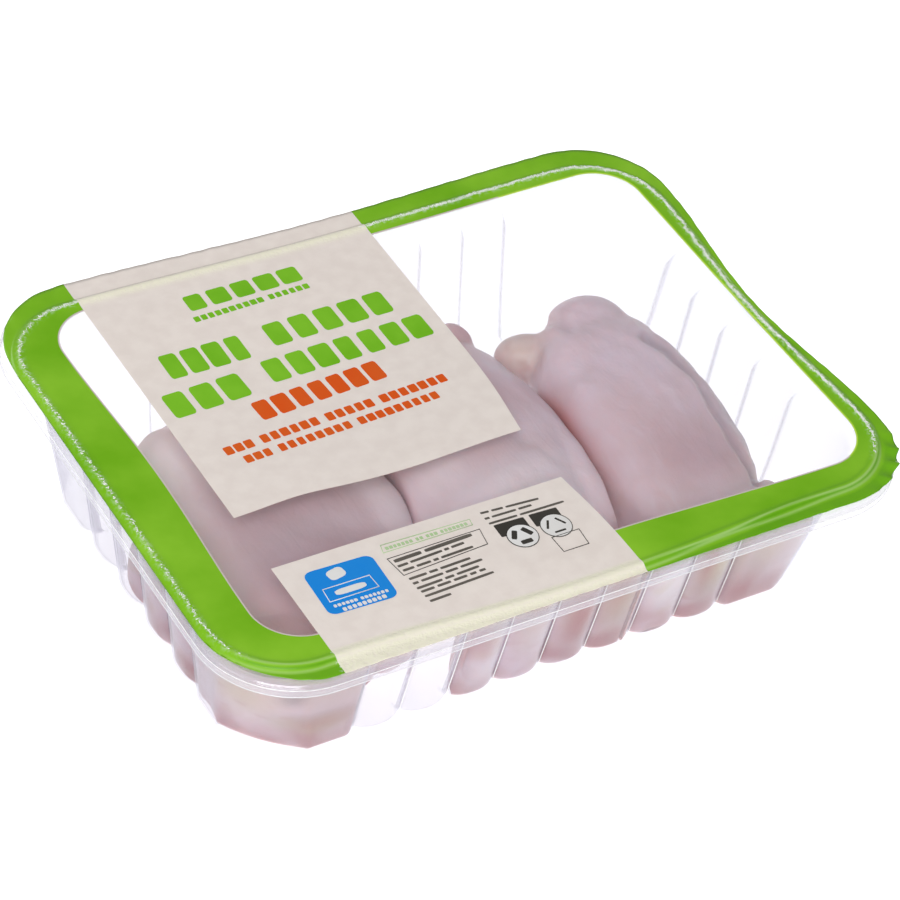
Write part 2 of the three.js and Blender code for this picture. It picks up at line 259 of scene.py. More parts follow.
def flat_corner(angle, cut):
    """Reach of a flattened corner of radius 1: cut straight across, or a slack curve."""
    across, up = np.abs(np.cos(angle)), np.abs(np.sin(angle))
    return np.where(cut, 1 / (across + up), (across ** SLACK + up ** SLACK) ** (-1 / SLACK))


def points_on(stations, shape, height, depth=0.0):
    """The points of an outline at every station, set in by depth in the notches. Millimetres."""
    side, turn = stations["side"], stations["turn"]
    lengthwise = side % 2 == 0
    half_x, half_y = shape["half"]
    straight = np.where(lengthwise, half_x, half_y) - shape["radius"]
    along = stations["along"] + np.abs(stations["share"]) * (
        np.sign(stations["share"]) * straight - stations["along"])
    bow = shape["bow"][side] * np.cos(np.pi / 2 * np.clip(along / straight, -1, 1)) ** 2
    out = np.where(lengthwise, half_y, half_x) + bow - depth * stations["notch"]
    straights = NORMALS[side] * out[:, None] + STEPS[side] * along[:, None]
    signs = np.stack([np.where(side < 2, 1, -1), np.where((side == 1) | (side == 2), 1, -1)], 1)
    angle = (side - 1 + turn) * np.pi / 2
    reach = shape["radius"] * (1 + shape["flatness"][side] * (flat_corner(turn * np.pi / 2, side == 3) - 1))
    corners = signs * (shape["half"] - shape["radius"]) + reach[:, None] * np.stack(
        [np.cos(angle), np.sin(angle)], 1)
    flat = shape["centre"] + np.where((turn < 0)[:, None], straights, corners)
    heights = np.broadcast_to(np.asarray(height, float), flat.shape[:1])
    return np.column_stack([flat, heights])


# %% [markdown]
# ## From rings to a solid
#
# The tray and the film are both skins: stacks of rings joined by four-sided faces, with a point at each end.
# The walk underneath and the walk back on top make one closed shell with a true thickness. A tube or an
# extrusion could make a sheet too, but rings keep every rib and bend where the sizes say.

# %% Mesh helpers
def new_piece(name, vertices, faces, materials=(), smooth=True):
    """An object at the origin with a mesh of these points, in millimetres."""
    mesh = bpy.data.meshes.new(name)
    mesh.from_pydata((np.asarray(vertices) * MM).tolist(), [], faces)
    mesh.polygons.foreach_set("use_smooth", [smooth] * len(mesh.polygons))
    for material in materials:
        mesh.materials.append(material)
    piece = bpy.data.objects.new(name, mesh)
    bpy.context.scene.collection.objects.link(piece)
    return piece


def skin_faces(rings, around):
    """Faces of a closed skin: a stack of rings, whose two end points come after the rings' points."""
    faces = []
    first = rings * around
    for place in range(around):
        following = (place + 1) % around
        faces.append((first, following, place))
        for ring in range(rings - 1):
            low, high = ring * around, (ring + 1) * around
            faces.append((low + place, low + following, high + following, high + place))
        top = (rings - 1) * around
        faces.append((first + 1, top + place, top + following))
    return faces


def set_attribute(piece, name, values):
    """Stores one number for each vertex, for the materials to read."""
    layer = piece.data.attributes.new(name, "FLOAT", "POINT")
    layer.data.foreach_set("value", np.asarray(values, np.float32))


def dress(piece, *nodes, slot):
    """Lets a piece ride on the body and stand for its CAD nodes; the finish named by slot is not used."""
    if nodes:
        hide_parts(*nodes)
    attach(piece, "root")
    return piece


def measure(piece):
    """Prints a piece's size and its number of triangles."""
    corners = np.array([v.co for v in piece.data.vertices])
    size = (corners.max(0) - corners.min(0)) / MM
    triangles = sum(len(p.vertices) - 2 for p in piece.data.polygons)
    print(piece.name, "mm:", size.round(1).tolist(), "triangles:", triangles)


def waviness(points, wavelength, seed, waves=24):
    """A smooth random field of about -1 to 1: waves of near one length in many directions, added up."""
    draw = np.random.default_rng(seed)
    directions = draw.normal(size=(waves, 3))
    directions /= np.linalg.norm(directions, axis=1)[:, None]
    lengths = wavelength * draw.uniform(0.7, 1.4, waves)
    phases = draw.uniform(0, 2 * np.pi, waves)
    turns = points @ (2 * np.pi * directions / lengths[:, None]).T + phases
    return np.sin(turns).sum(1) / math.sqrt(waves)


def smooth_step(low, high, value):
    """0 below low, 1 above high and a smooth rise between."""
    t = np.clip((value - low) / (high - low), 0, 1)
    return t * t * (3 - 2 * t)


# %% [markdown]
# ## Clear sheet
#
# The tray is PET, a clear plastic that is drawn hot into a mould. Where it is drawn thin and folded, at the
# notches and the bends, it turns milky and catches white lines, drawn here as milky bars with a painted
# highlight that glows a little. A full glass shader would bend the light through every wall, which is slow and
# grainy and changes little in a sheet of half a millimetre. So the sheet lets light straight through, mirrors
# the room by its IOR, and is milky where the drawn attribute says so. Its tint at a slant is stronger on the
# front and left walls, and those walls are darkened all over: both are painted shade.

# %% Material: thermoformed clear PET
PET_IOR = 1.575
TINT_POWER = 4.0
MIRROR_POWER = 5.0
MOST_MIRRORED = 0.7


def clear_sheet(name, milky_tint, milk, roughness, drawn=None, slant_tint_and_shade=None, painted_wall_shade=None, edge_tint_and_shade="9f99ad",
                painted_glow=0.0):
    """A see-through sheet. milk is how milky it is and the last argument how much that part glows, a painted
    highlight.

    Three attributes may be named: drawn multiplies the milk, the next says how much the sheet is tinted where
    it is seen at a slant, partly a real tint and partly painted shade, and the last darkens it from all sides,
    a painted shade.
    """
    material, tree = new_material(name)

    def read(attribute):
        return add_node(tree, "ShaderNodeAttribute", attribute_name=attribute).outputs["Fac"]

    def combine(first, second, operation):
        return add_node(tree, "ShaderNodeMath", {0: first, 1: second}, operation=operation).outputs[0]

    faced = ((PET_IOR - 1) / (PET_IOR + 1)) ** 2
    slant = add_node(tree, "ShaderNodeLayerWeight", {"Blend": 0.5}).outputs["Facing"]
    tinted = combine(slant, TINT_POWER, "POWER")
    if slant_tint_and_shade:
        tinted = combine(tinted, read(slant_tint_and_shade), "MULTIPLY")
    if painted_wall_shade:
        tinted = combine(tinted, read(painted_wall_shade), "MAXIMUM")
    through = blend_colours(tree, tinted, linear("fefeff"), linear(edge_tint_and_shade))
    clear = add_node(tree, "ShaderNodeBsdfTransparent", {"Color": through})
    # Its glow is a painted highlight: folded parts shine white under any light, though they are no lamp
    body = add_node(tree, "ShaderNodeBsdfPrincipled", {
        "Base Color": linear(milky_tint), "Roughness": 0.3, "IOR": PET_IOR,
        "Emission Color": linear(milky_tint), "Emission Strength": painted_glow})
    density = combine(read(drawn), milk, "MULTIPLY") if drawn else milk
    sheet = add_node(tree, "ShaderNodeMixShader", {0: density, 1: clear.outputs[0], 2: body.outputs[0]})
    mirror = add_node(tree, "ShaderNodeBsdfGlossy", {"Color": linear("fafaff"), "Roughness": roughness})
    bounce = add_node(tree, "ShaderNodeMapRange", {
        "Value": combine(slant, MIRROR_POWER, "POWER"), "To Min": faced, "To Max": MOST_MIRRORED})
    glossy = add_node(tree, "ShaderNodeMixShader", {
        0: bounce.outputs[0], 1: sheet.outputs[0], 2: mirror.outputs[0]})
    finish_material(tree, glossy)
    return material


# The sheet itself, smooth from the mould, and its folds, where it is stretched white and glows a little as a
# painted highlight
clear_pet = clear_sheet("thermoformed_clear_pet", "f4f2f8", 0.5, 0.07, "drawn", "slant_tint_and_shade", "painted_wall_shade")
fold_pet_painted_highlight = clear_sheet("folded_pet_painted_highlight", "ffffff", 0.92, 0.15, edge_tint_and_shade="f6f4fa", painted_glow=0.1)
print("clear sheet ready")

# %% [markdown]
# ## The tray
#
# The tray is one sheet: floor, ribbed walls, a shoulder, a flange with the bead that carries the seal, and
# a turned-down lip. The walk is finer than in the CAD model, the bends are true arcs, and the lip gets its
# stiffening step. The shell is one closed skin from the floor's underside over the bead and back inside.

# %% Tray profile
# The bend between floor and wall, then heights: the wall's top, the flange, its brink and the lip's foot
EDGE = 3.2
WALL_TOP = SEAL_HEIGHT - 8.2
FLANGE = SEAL_HEIGHT - 1.2
BRINK = FLANGE - 0.8
LIP_FOOT = SEAL_HEIGHT - 5.9
# Each pair holds at the floor and further up: the notches' depth, the walls' inset and their corners' radius
RIB_DEPTH = (4.8, 4.3)
DEEPEST_BELOW = 20
WALL_INSET = (10.3, 4.2)
CORNER_RADIUS = (20.0, 19.2)
# How far the front left corner is cut straight at the floor, and each wall's share of the seal's bow
CUT_CORNER = 0.75
WALL_BOW = (0.1, 1.0, 1.0, 1.0)
BEAD_HALF_WIDTH, BEAD_HEIGHT, BEAD_ROUNDING = 1.1, 0.9, 0.7
# Places across one rib, in ribs, that crowd at the notches
RIB_PLACES = (0, .03, .07, .12, .18, .24, .33, .42, .5, .58, .67, .76, .82, .88, .93, .97)


def ribbed_side(side):
    """Places along a ribbed side: close together at each notch, then on to where the corner starts."""
    count, pitch = RIBS[side]
    end = (count / 2 + NOTCH_HALF_WIDTH) * pitch
    inner = [(rib - count / 2 + place) * pitch for rib in range(count) for place in RIB_PLACES]
    inner += [(count / 2 + place) * pitch for place in (0, .03, .07, .12, .18)]
    outer = [-place * pitch - count / 2 * pitch for place in (.18, .12, .07, .03)]
    beyond, shift = (0.0, 0.3, 0.6, 0.85), RIB_SHIFT[side]
    return ([(shift - end, -share) for share in reversed(beyond)]
            + [(shift + place, 0) for place in outer + inner]
            + [(shift + end, share) for share in beyond])


def wall_outline(height, offset):
    """The walls' outline at a height: straight and with cut corners near the floor, as the seal above."""
    up = min(max((height - EDGE) / (WALL_TOP - EDGE), 0), 1)
    inset = WALL_INSET[0] + (WALL_INSET[1] - WALL_INSET[0]) * up
    shape = dict(size=(SEAL["size"][0] - 2 * inset, SEAL["size"][1] - 2 * inset),
                 radius=CORNER_RADIUS[0] + (CORNER_RADIUS[1] - CORNER_RADIUS[0]) * up, centre=SEAL["centre"],
                 bow=[b * share * up for b, share in zip(SEAL["bow"], WALL_BOW)])
    return outline(shape, offset, (1, 1, 1, CUT_CORNER * (1 - up)))


def rib_depth(height):
    """How deep the notches are at a height: deepest at the foot."""
    up = np.clip(np.asarray(height) / DEEPEST_BELOW, 0, 1)
    return RIB_DEPTH[0] + (RIB_DEPTH[1] - RIB_DEPTH[0]) * up


def floor_rows(sheet):
    """Rings from the floor's flat middle round its bend. sheet is 0 outside and SHEET inside."""
    rows = [(wall_outline(0, -EDGE - inset), sheet, rib_depth(0) * depth)
            for inset, depth in ((5.5, 0), (3.6, 0.12), (1.8, 0.5), (0.6, 0.9))]
    for step in range(7):
        turn = math.pi / 2 * step / 6
        rows.append((wall_outline(0, -sheet - (EDGE - sheet) * (1 - math.sin(turn))),
                     sheet + (EDGE - sheet) * (1 - math.cos(turn)), rib_depth(0)))
    return rows


def wall_rows(sheet):
    """Rings up the ribbed wall."""
    return [(wall_outline(height, -sheet), height, rib_depth(height))
            for height in np.linspace(9, WALL_TOP, 6)]


def lip_rows():
    """Rings down the inside of the lip, round its foot, up its outside with a step, and onto the flange."""
    under = [(1.7, BRINK - SHEET), (1.1, BRINK - SHEET - 0.25), (0.95, BRINK - 1.6), (0.6, LIP_FOOT + 2.4),
             (0.6, LIP_FOOT + 0.3), (0.55, LIP_FOOT)]
    outer = [(0.1, LIP_FOOT), (0, LIP_FOOT + 0.2), (0, LIP_FOOT + 2.3), (0.1, LIP_FOOT + 2.7),
             (0.42, LIP_FOOT + 2.9), (0.5, LIP_FOOT + 3.2), (0.55, BRINK - 0.8), (0.7, BRINK - 0.35),
             (1.0, BRINK - 0.1), (1.4, BRINK)]
    return [(outline(RIM, -inset), height, 0) for inset, height in under + outer]


def bead_rows():
    """Rings over the raised bead, from its outer foot to its inner one."""
    rows = []
    for away in (1.1, 0.9, 0.65, 0.35, 0, -0.35, -0.65, -0.9, -1.1):
        share = away / BEAD_HALF_WIDTH
        rise = BEAD_HEIGHT * math.cos(math.pi / 2 * share) ** BEAD_ROUNDING if abs(share) < 1 else 0
        rows.append((outline(SEAL, away), FLANGE + rise, 0))
    return rows


# %% Build the tray
def shoulder_rings(stations, sheet, steps=5):
    """Rings from the wall's top over the shoulder, where the notches run out, to the flange."""
    low = points_on(stations, wall_outline(WALL_TOP, -sheet), WALL_TOP, rib_depth(WALL_TOP))
    high = points_on(stations, outline(SEAL, -3.5 - sheet), SEAL_HEIGHT - 4.5, 0.8)
    return [low + (high - low) * np.array([t, t, t ** 0.8])[None, :] for t in np.linspace(0, 1, steps)[1:]]


# How milky the drawn places are, and how much a slanted wall and the whole of a wall are tinted: the front
# and left walls and the front lip get more, which is painted shade
MILKY = dict(notch=0.3, foot=0.05, flange=0.06, lip=0.36)
SLANT_TINT_AND_SHADE = dict(all_round=0.12, front=0.42, left=0.85)
PAINTED_WALL_SHADE = dict(left=0.2, front=0.06, front_foot=0.08, lip=0.09)


def build_tray():
    """The whole tray as one closed shell, with the attributes that its material reads."""
    stations = walk(ribbed_side, 16)

    def rings_of(rows):
        return [points_on(stations, shape, height, depth) for shape, height, depth in rows]

    under = (rings_of(floor_rows(0.0) + wall_rows(0.0)) + shoulder_rings(stations, 0.0)
             + rings_of([(outline(SEAL, -3.0), FLANGE - SHEET, 0)]))
    lip = rings_of(lip_rows())
    over = (rings_of(bead_rows() + [(outline(SEAL, -2.4), FLANGE, 0)]) + shoulder_rings(stations, SHEET)[::-1]
            + rings_of((floor_rows(SHEET) + wall_rows(SHEET))[::-1]))
    rings = under + lip + over
    middle = (*SEAL["centre"], 0.0)
    vertices = np.concatenate(rings + [np.array([middle, (*middle[:2], SHEET)])])
    tray = new_piece("tray_shell", vertices, skin_faces(len(rings), len(stations["side"])), [clear_pet])
    x, y, height = vertices.T
    per_ring = [0.0] * len(under) + [1.0] * len(lip) + [0.0] * len(over)
    on_lip = np.append(np.repeat(per_ring, len(stations["side"])), [0, 0])
    notch = np.append(np.tile(stations["notch"], len(rings)), [0, 0])
    on_wall = smooth_step(0, 3, height) * (1 - smooth_step(WALL_TOP, SEAL_HEIGHT - 4.5, height))
    off_middle = np.append(np.ones(len(height) - 2), [0, 0])
    foot = np.exp(-((height - 1.5) / 1.6) ** 2) * off_middle
    flange = smooth_step(WALL_TOP, FLANGE - 0.5, height) * (1 - on_lip)
    drawn = (MILKY["notch"] * notch ** 6 * on_wall + MILKY["foot"] * foot + MILKY["flange"] * flange
             + MILKY["lip"] * on_lip)
    set_attribute(tray, "drawn", np.clip(drawn, 0, 1))
    # Painted shade: the front and left walls get a stronger slant tint, and they and the front lip are darkened
    # all over
    in_front, leftward = 1 - smooth_step(-65, -45, y), 1 - smooth_step(-95, -80, x)
    slanted = np.maximum(SLANT_TINT_AND_SHADE["front"] * in_front, SLANT_TINT_AND_SHADE["left"] * leftward)
    set_attribute(tray, "slant_tint_and_shade", np.maximum(slanted, SLANT_TINT_AND_SHADE["all_round"]))
    at_left = (1 - smooth_step(-97, -90, x)) * smooth_step(-75, -45, y)
    at_front = in_front * (PAINTED_WALL_SHADE["front"] + PAINTED_WALL_SHADE["front_foot"] * smooth_step(34, 5, height))
    painted_wall_shade = np.maximum(PAINTED_WALL_SHADE["left"] * at_left, at_front) * on_wall
    set_attribute(tray, "painted_wall_shade", painted_wall_shade + PAINTED_WALL_SHADE["lip"] * in_front * on_lip)
    return dress(tray, "tray", slot="clear_tray"), stations


tray, stations = build_tray()
measure(tray)

# %% [markdown]
# ## Fold lines
#
# At the bottom of each notch the sheet is folded to a sharp, milky line, and the lip's foot is a rolled edge
# that shines as a thin white line. Both lines are partly milky plastic and partly a painted highlight: white
# bars that glow a little, at the notches only where the front and left walls catch the light. These repeat
# along paths, so Geometry Nodes make them: the paths go in as bare edges, and a small tree sweeps a fine
# round bar along each.

# %% Node tree that sweeps a bar along paths
def new_tree(name, **inputs):
    """A geometry tree with a geometry input, more named inputs and a geometry output, and its input node."""
    tree = bpy.data.node_groups.new(name, "GeometryNodeTree")
    for label, kind in {"Geometry": "Geometry", **inputs}.items():
        tree.interface.new_socket(label, in_out="INPUT", socket_type="NodeSocket" + kind)
    tree.interface.new_socket("Geometry", in_out="OUTPUT", socket_type="NodeSocketGeometry")
    return tree, add_node(tree, "NodeGroupInput").outputs


def end_tree(tree, geometry, finish):
    """Makes a tree's instances real, sets their material and puts them out."""
    real = add_node(tree, "GeometryNodeRealizeInstances", {"Geometry": geometry})
    finished = add_node(tree, "GeometryNodeSetMaterial", {"Geometry": real.outputs[0], "Material": finish})
    add_node(tree, "NodeGroupOutput", {"Geometry": finished.outputs[0]})
    return tree


def sweep_tree():
    """Geometry nodes: edges to curves, and a fine round bar along each."""
    tree, given = new_tree("swept_line", Radius="Float", Finish="Material")
    curves = add_node(tree, "GeometryNodeMeshToCurve", {"Mesh": given["Geometry"]})
    profile = add_node(tree, "GeometryNodeCurvePrimitiveCircle", {"Resolution": 6, "Radius": given["Radius"]})
    bars = add_node(tree, "GeometryNodeCurveToMesh", {
        "Curve": curves.outputs[0], "Profile Curve": profile.outputs[0], "Fill Caps": True})
    return end_tree(tree, bars.outputs[0], given["Finish"])


def run_nodes(piece, tree, values):
    """Runs a node tree on a piece with these named inputs, and keeps the result as a plain mesh."""
    modifier = piece.modifiers.new("nodes", "NODES")
    modifier.node_group = tree
    sockets = {s.name: s.identifier for s in tree.interface.items_tree if s.in_out == "INPUT"}
    for name, value in values.items():
        modifier[sockets[name]] = value
    bpy.context.view_layer.update()
    depsgraph = bpy.context.evaluated_depsgraph_get()
    made = bpy.data.meshes.new_from_object(piece.evaluated_get(depsgraph), depsgraph=depsgraph)
    piece.modifiers.clear()
    piece.data = made
    return piece


def path_piece(name, paths):
    """An object of bare edges: each path is a list of points in millimetres, closed if it says so."""
    vertices, edges = [], []
    for points, closed in paths:
        start = len(vertices)
        vertices += (np.asarray(points) * MM).tolist()
        edges += [(start + i, start + i + 1) for i in range(len(points) - 1)]
        if closed:
            edges.append((len(vertices) - 1, start))
    mesh = bpy.data.meshes.new(name)
    mesh.from_pydata(vertices, edges, [])
    piece = bpy.data.objects.new(name, mesh)
    bpy.context.scene.collection.objects.link(piece)
    return piece


# %% Notch lines and the lip's rolled edge
FOLD_LIFT = 1.5
NOTCH_LINE_RADIUS = 0.18
LIP_LINE_RADIUS = 0.12


def notch_paths():
    """One path up the bottom of every notch at the front and left, a painted highlight where they catch the
    light.
    """
    heights = (2.6, 3.6, 12.0, 24.0, 36.0, WALL_TOP)
    rows = [(wall_outline(height, FOLD_LIFT), height, rib_depth(height)) for height in heights]
    rings = [points_on(stations, shape, height, depth) for shape, height, depth in rows]
    rings.append(points_on(stations, outline(SEAL, -3.25), SEAL_HEIGHT - 4.8, 0.8))
    bottoms = np.flatnonzero((stations["notch"] > 0.999) & (stations["side"] % 3 == 0))
    return [([ring[i] for ring in rings], False) for i in bottoms]


sweep = sweep_tree()
notch_lines = run_nodes(path_piece("tray_notch_lines", notch_paths()), sweep,
                        {"Radius": NOTCH_LINE_RADIUS * MM, "Finish": fold_pet_painted_highlight})
dress(notch_lines, slot="clear_tray")
plain_stations = walk(lambda side: [(0.0, share) for share in np.linspace(-1, 1, 81)], 14)
lip_paths = [(points_on(plain_stations, outline(RIM, offset), LIP_FOOT + lift), True)
             for offset, lift in ((-0.2, 0.1), (-0.15, 2.6))]
lip_line = run_nodes(path_piece("tray_lip_line", lip_paths), sweep,
                     {"Radius": LIP_LINE_RADIUS * MM, "Finish": fold_pet_painted_highlight})
dress(lip_line, slot="clear_tray")
measure(notch_lines)
measure(lip_line)

# %% [markdown]
# ## How the film lies
#
# The film is drawn tight over the bead, dips a little inside it and drops to the flange outside. Its height
# depends only on the place, so one function of x and y gives it, and both the film and the print that lies on
# it can ask for it. The distance from the seal line is worked out as for any rounded rectangle.

# %% Height of the film's top face
FILM_THICKNESS = 0.15
FILM_LEVEL = 51.1
FILM_DIP, FILM_CREST, FILM_DROP, FILM_RIPPLE = 0.35, 0.42, 0.72, 0.07


def distance_from(shape, x, y):
    """Distance from an outline in millimetres, negative inside it."""
    dx, dy = x - shape["centre"][0], y - shape["centre"][1]
    straight = shape["half"] - shape["radius"]
    bow_x = np.where(dx > 0, shape["bow"][1], shape["bow"][3])
    bow_y = np.where(dy > 0, shape["bow"][2], shape["bow"][0])
    reach_x = shape["half"][0] + bow_x * np.cos(np.pi / 2 * np.clip(dy / straight[1], -1, 1)) ** 2
    reach_y = shape["half"][1] + bow_y * np.cos(np.pi / 2 * np.clip(dx / straight[0], -1, 1)) ** 2
    past_x = np.abs(dx) - reach_x + shape["radius"]
    past_y = np.abs(dy) - reach_y + shape["radius"]
    outside = np.hypot(np.maximum(past_x, 0), np.maximum(past_y, 0))
    return outside + np.minimum(np.maximum(past_x, past_y), 0) - shape["radius"]


def film_height(x, y):
    """Height of the film's top face: a shallow dip inside, a crest on the bead and a drop to the flange."""
    x, y = np.asarray(x, float), np.asarray(y, float)
    off_seal = distance_from(outline(SEAL), x, y)
    dip = FILM_DIP * np.clip(1 - (x / 108) ** 2, 0, 1) * np.clip(1 - (y / 78) ** 2, 0, 1)
    crest = FILM_CREST * np.exp(-(off_seal / 1.15) ** 2)
    drop = FILM_DROP * smooth_step(0.6, 2.6, off_seal)
    ripples = waviness(np.stack([x, y, 0 * x], -1).reshape(-1, 3), 46.0, 3).reshape(x.shape)
    return FILM_LEVEL - dip + crest - drop + FILM_RIPPLE * ripples * smooth_step(-2, -14, off_seal)


print("film height in the middle, on the bead and at the edge:",
      [round(float(film_height(x, 0)), 2) for x in (0.0, -109.8, -111.5)])

# %% [markdown]
# ## Printed film
#
# The lidding film is thin PET, printed on its back, so the ink is seen under gloss. There is a green frame
# round a clear window, and two cream panels that look like paper. Where the hot bar pressed the film on the
# bead, it is crinkled and glitters. Each ink is one solid colour broken by a faint mottle, and the crinkle
# is relief and a paler tone that follow the sealed attribute: the paler tone is partly frosted film and partly
# painted sparkle and painted highlight. Light and dark lines on the green at the stretched front are a
# painted highlight and a painted shade.

# %% Materials: clear film and its inks
LIGHT_PASSED = 0.12
CRINKLE_MM = 1.1
CRINKLE_RELIEF = 0.35


def printed_film(name, ink, mottle, seal_tone_and_sparkle, mottle_mm, even_seal=False, painted_light_and_shade_tones=None):
    """Reverse-printed PET film: ink under gloss, with a mottle and a crinkled, paler seal whose paler tone is
    partly frosted film and partly painted sparkle. The last argument lays tones of painted highlight and
    painted shade where their attributes say.
    """
    material, tree = new_material(name)
    place = add_node(tree, "ShaderNodeTexCoord").outputs["Object"]
    sealed = add_node(tree, "ShaderNodeAttribute", attribute_name="sealed")
    soft = add_node(tree, "ShaderNodeTexNoise", {
        "Vector": place, "Scale": 1 / (mottle_mm * MM), "Detail": 4.0})
    spread = add_node(tree, "ShaderNodeMapRange", {
        "Value": soft.outputs["Fac"], "From Min": 0.36, "From Max": 0.64})
    body = blend_colours(tree, spread.outputs[0], linear(ink), linear(mottle))
    # Tones of painted highlight and painted shade, laid on the ink where their attributes say
    for attribute, tone in (painted_light_and_shade_tones or {}).items():
        share = add_node(tree, "ShaderNodeAttribute", attribute_name=attribute)
        body = blend_colours(tree, share.outputs["Fac"], body, linear(tone))
    crinkle = add_node(tree, "ShaderNodeTexNoise", {
        "Vector": place, "Scale": 1 / (CRINKLE_MM * MM), "Detail": 3.0, "Roughness": 0.7})
    # The seal's paler flecks: partly frosted film, partly painted sparkle
    flecks = add_node(tree, "ShaderNodeMapRange", {
        "Value": crinkle.outputs["Fac"], "From Min": -0.2 if even_seal else 0.47, "From Max": 0.6,
        "To Max": 0.9})
    share = add_node(tree, "ShaderNodeMath", {0: flecks.outputs[0], 1: sealed.outputs["Fac"]},
                     operation="MULTIPLY")
    colour = blend_colours(tree, share.outputs[0], body, linear(seal_tone_and_sparkle))
    bump = add_node(tree, "ShaderNodeBump", {
        "Height": crinkle.outputs["Fac"], "Strength": sealed.outputs["Fac"], "Distance": CRINKLE_RELIEF * MM})
    glossy = add_node(tree, "ShaderNodeBsdfPrincipled", {
        "Base Color": colour, "Roughness": 0.22, "IOR": 1.4, "Normal": bump.outputs[0]})
    through = add_node(tree, "ShaderNodeBsdfTranslucent", {"Color": colour})
    shader = add_node(tree, "ShaderNodeMixShader", {
        0: LIGHT_PASSED, 1: glossy.outputs[0], 2: through.outputs[0]})
    finish_material(tree, shader)
    return material


# The bare film of the window is as good as clear. The inks differ in how far their mottle reaches: the green
# drifts slowly over the frame, and the cream is grained like paper. The traps are the thin lines where the
# window's edge shows pale, because the ink ends there
window_film = clear_sheet("clear_pet_film", "f6f4fb", 0.02, 0.05)
# The green's deep and bright tones are painted shade and painted highlight along the stretched film at the
# front
green_ink = printed_film("green_ink_on_film", "78bc0a", "93d02c", "f4faec", 34,
                         painted_light_and_shade_tones={"deep": "58a406", "bright": "b9dd88"})
cream_ink = printed_film("cream_ink_on_film", "f8efe7", "f3e9e1", "fbf9e0", 5, even_seal=True)
green_trap = printed_film("yellow_green_trap_on_film", "cdee5a", "bfe345", "f4faec", 40)
pale_trap = printed_film("pale_trap_on_film", "dccfcb", "d3c4c0", "f4faec", 40)

# %% [markdown]
# ## The film
#
# Rings run from the middle of the window out to its edge, across the printed frame, over the bead and on to
# the cut edge, close together where the surface bends. The two cream panels have straight sides, so the
# mesh is cut along four lines, and each face takes its ink from where it lies. The cut edge is crinkled,
# most of all at the front right corner, where the film stands out a little.

# %% Film rings
PANEL_X = (-82.6, 14.2)
PANEL_BREAKS_Y = (-22.3, -44.3)
TRAP_WIDTH = 0.45
SCALLOP = 7.3
SCALLOP_DEPTH = 0.6
FOLD_HEIGHT = 1.2
DRAWN_IN = 1.0


def at_corner(stations, side):
    """1 in the middle of the corner that follows a side, falling to 0 at the corner's ends."""
    there = (stations["side"] == side) & (stations["turn"] >= 0)
    return np.where(there, np.sin(np.pi * stations["turn"]) ** 2, 0)


def ring_lengths(ring):
    """How far along the walk each station lies, in millimetres."""
    steps = np.linalg.norm(np.roll(ring, -1, 0) - ring, axis=1)
    return np.concatenate([[0], np.cumsum(steps)[:-1]])


def film_rings(stations):
    """Flat rings of the film, with how far each lies from the window's middle to the cut edge."""
    window = points_on(stations, outline(WINDOW), 0)[:, :2]
    trap = points_on(stations, outline(WINDOW, TRAP_WIDTH), 0)[:, :2]
    past_bead = points_on(stations, outline(SEAL, 2.6), 0)[:, :2]
    cut = points_on(stations, outline(FILM), 0)[:, :2]
    scallops = SCALLOP_DEPTH * (1 + np.sin(2 * np.pi * ring_lengths(cut) / SCALLOP))
    cut += (scallops * at_corner(stations, 0))[:, None] * np.array([math.sqrt(0.5), -math.sqrt(0.5)])
    cut += DRAWN_IN * at_corner(stations, 3)[:, None]
    middle = np.array(WINDOW["centre"], float)
    inner = [middle + (window - middle) * share
             for share in (.12, .25, .38, .5, .6, .7, .78, .85, .91, .955, .985)]
    across = [trap + (past_bead - trap) * share
              for share in (.12, .24, .36, .46, .55, .62, .68, .73, .77, .81, .84, .87, .9, .93, .965, 1)]
    outer = [past_bead + (cut - past_bead) * share for share in (.2, .4, .6, .8, 1)]
    return inner, window, trap, across, outer


def crinkle(points, along, share, stations):
    """Small waves across the film's outer band, stronger where it stands out at the front right corner."""
    line = np.stack([along, 0 * along, 0 * along], 1)
    fine = 0.10 * waviness(line, 5.0, 11)
    folds = FOLD_HEIGHT * at_corner(stations, 0) * np.maximum(np.sin(2 * np.pi * along / SCALLOP), -0.2)
    points[:, 2] += share * (fine + folds)
    return points


# %% Build the film
def panel_waves(vertices):
    """Moves the film sideways a little, so that the panels' edges run as softly as on the real film."""
    x, y = vertices[:, 0].copy(), vertices[:, 1].copy()
    near_right = np.exp(-((x - 14) / 22) ** 2)
    near_break = np.exp(-((y - PANEL_BREAKS_Y[0]) / 9) ** 2)
    crest, trough = 1.1 * np.exp(-((x + 62) / 13) ** 2), 1.2 * np.exp(-((x + 28) / 22) ** 2)
    vertices[:, 0] -= 3.6 * near_right * np.exp(-((y + 32) / 24) ** 2)
    vertices[:, 1] += near_break * (crest - trough)
    return vertices


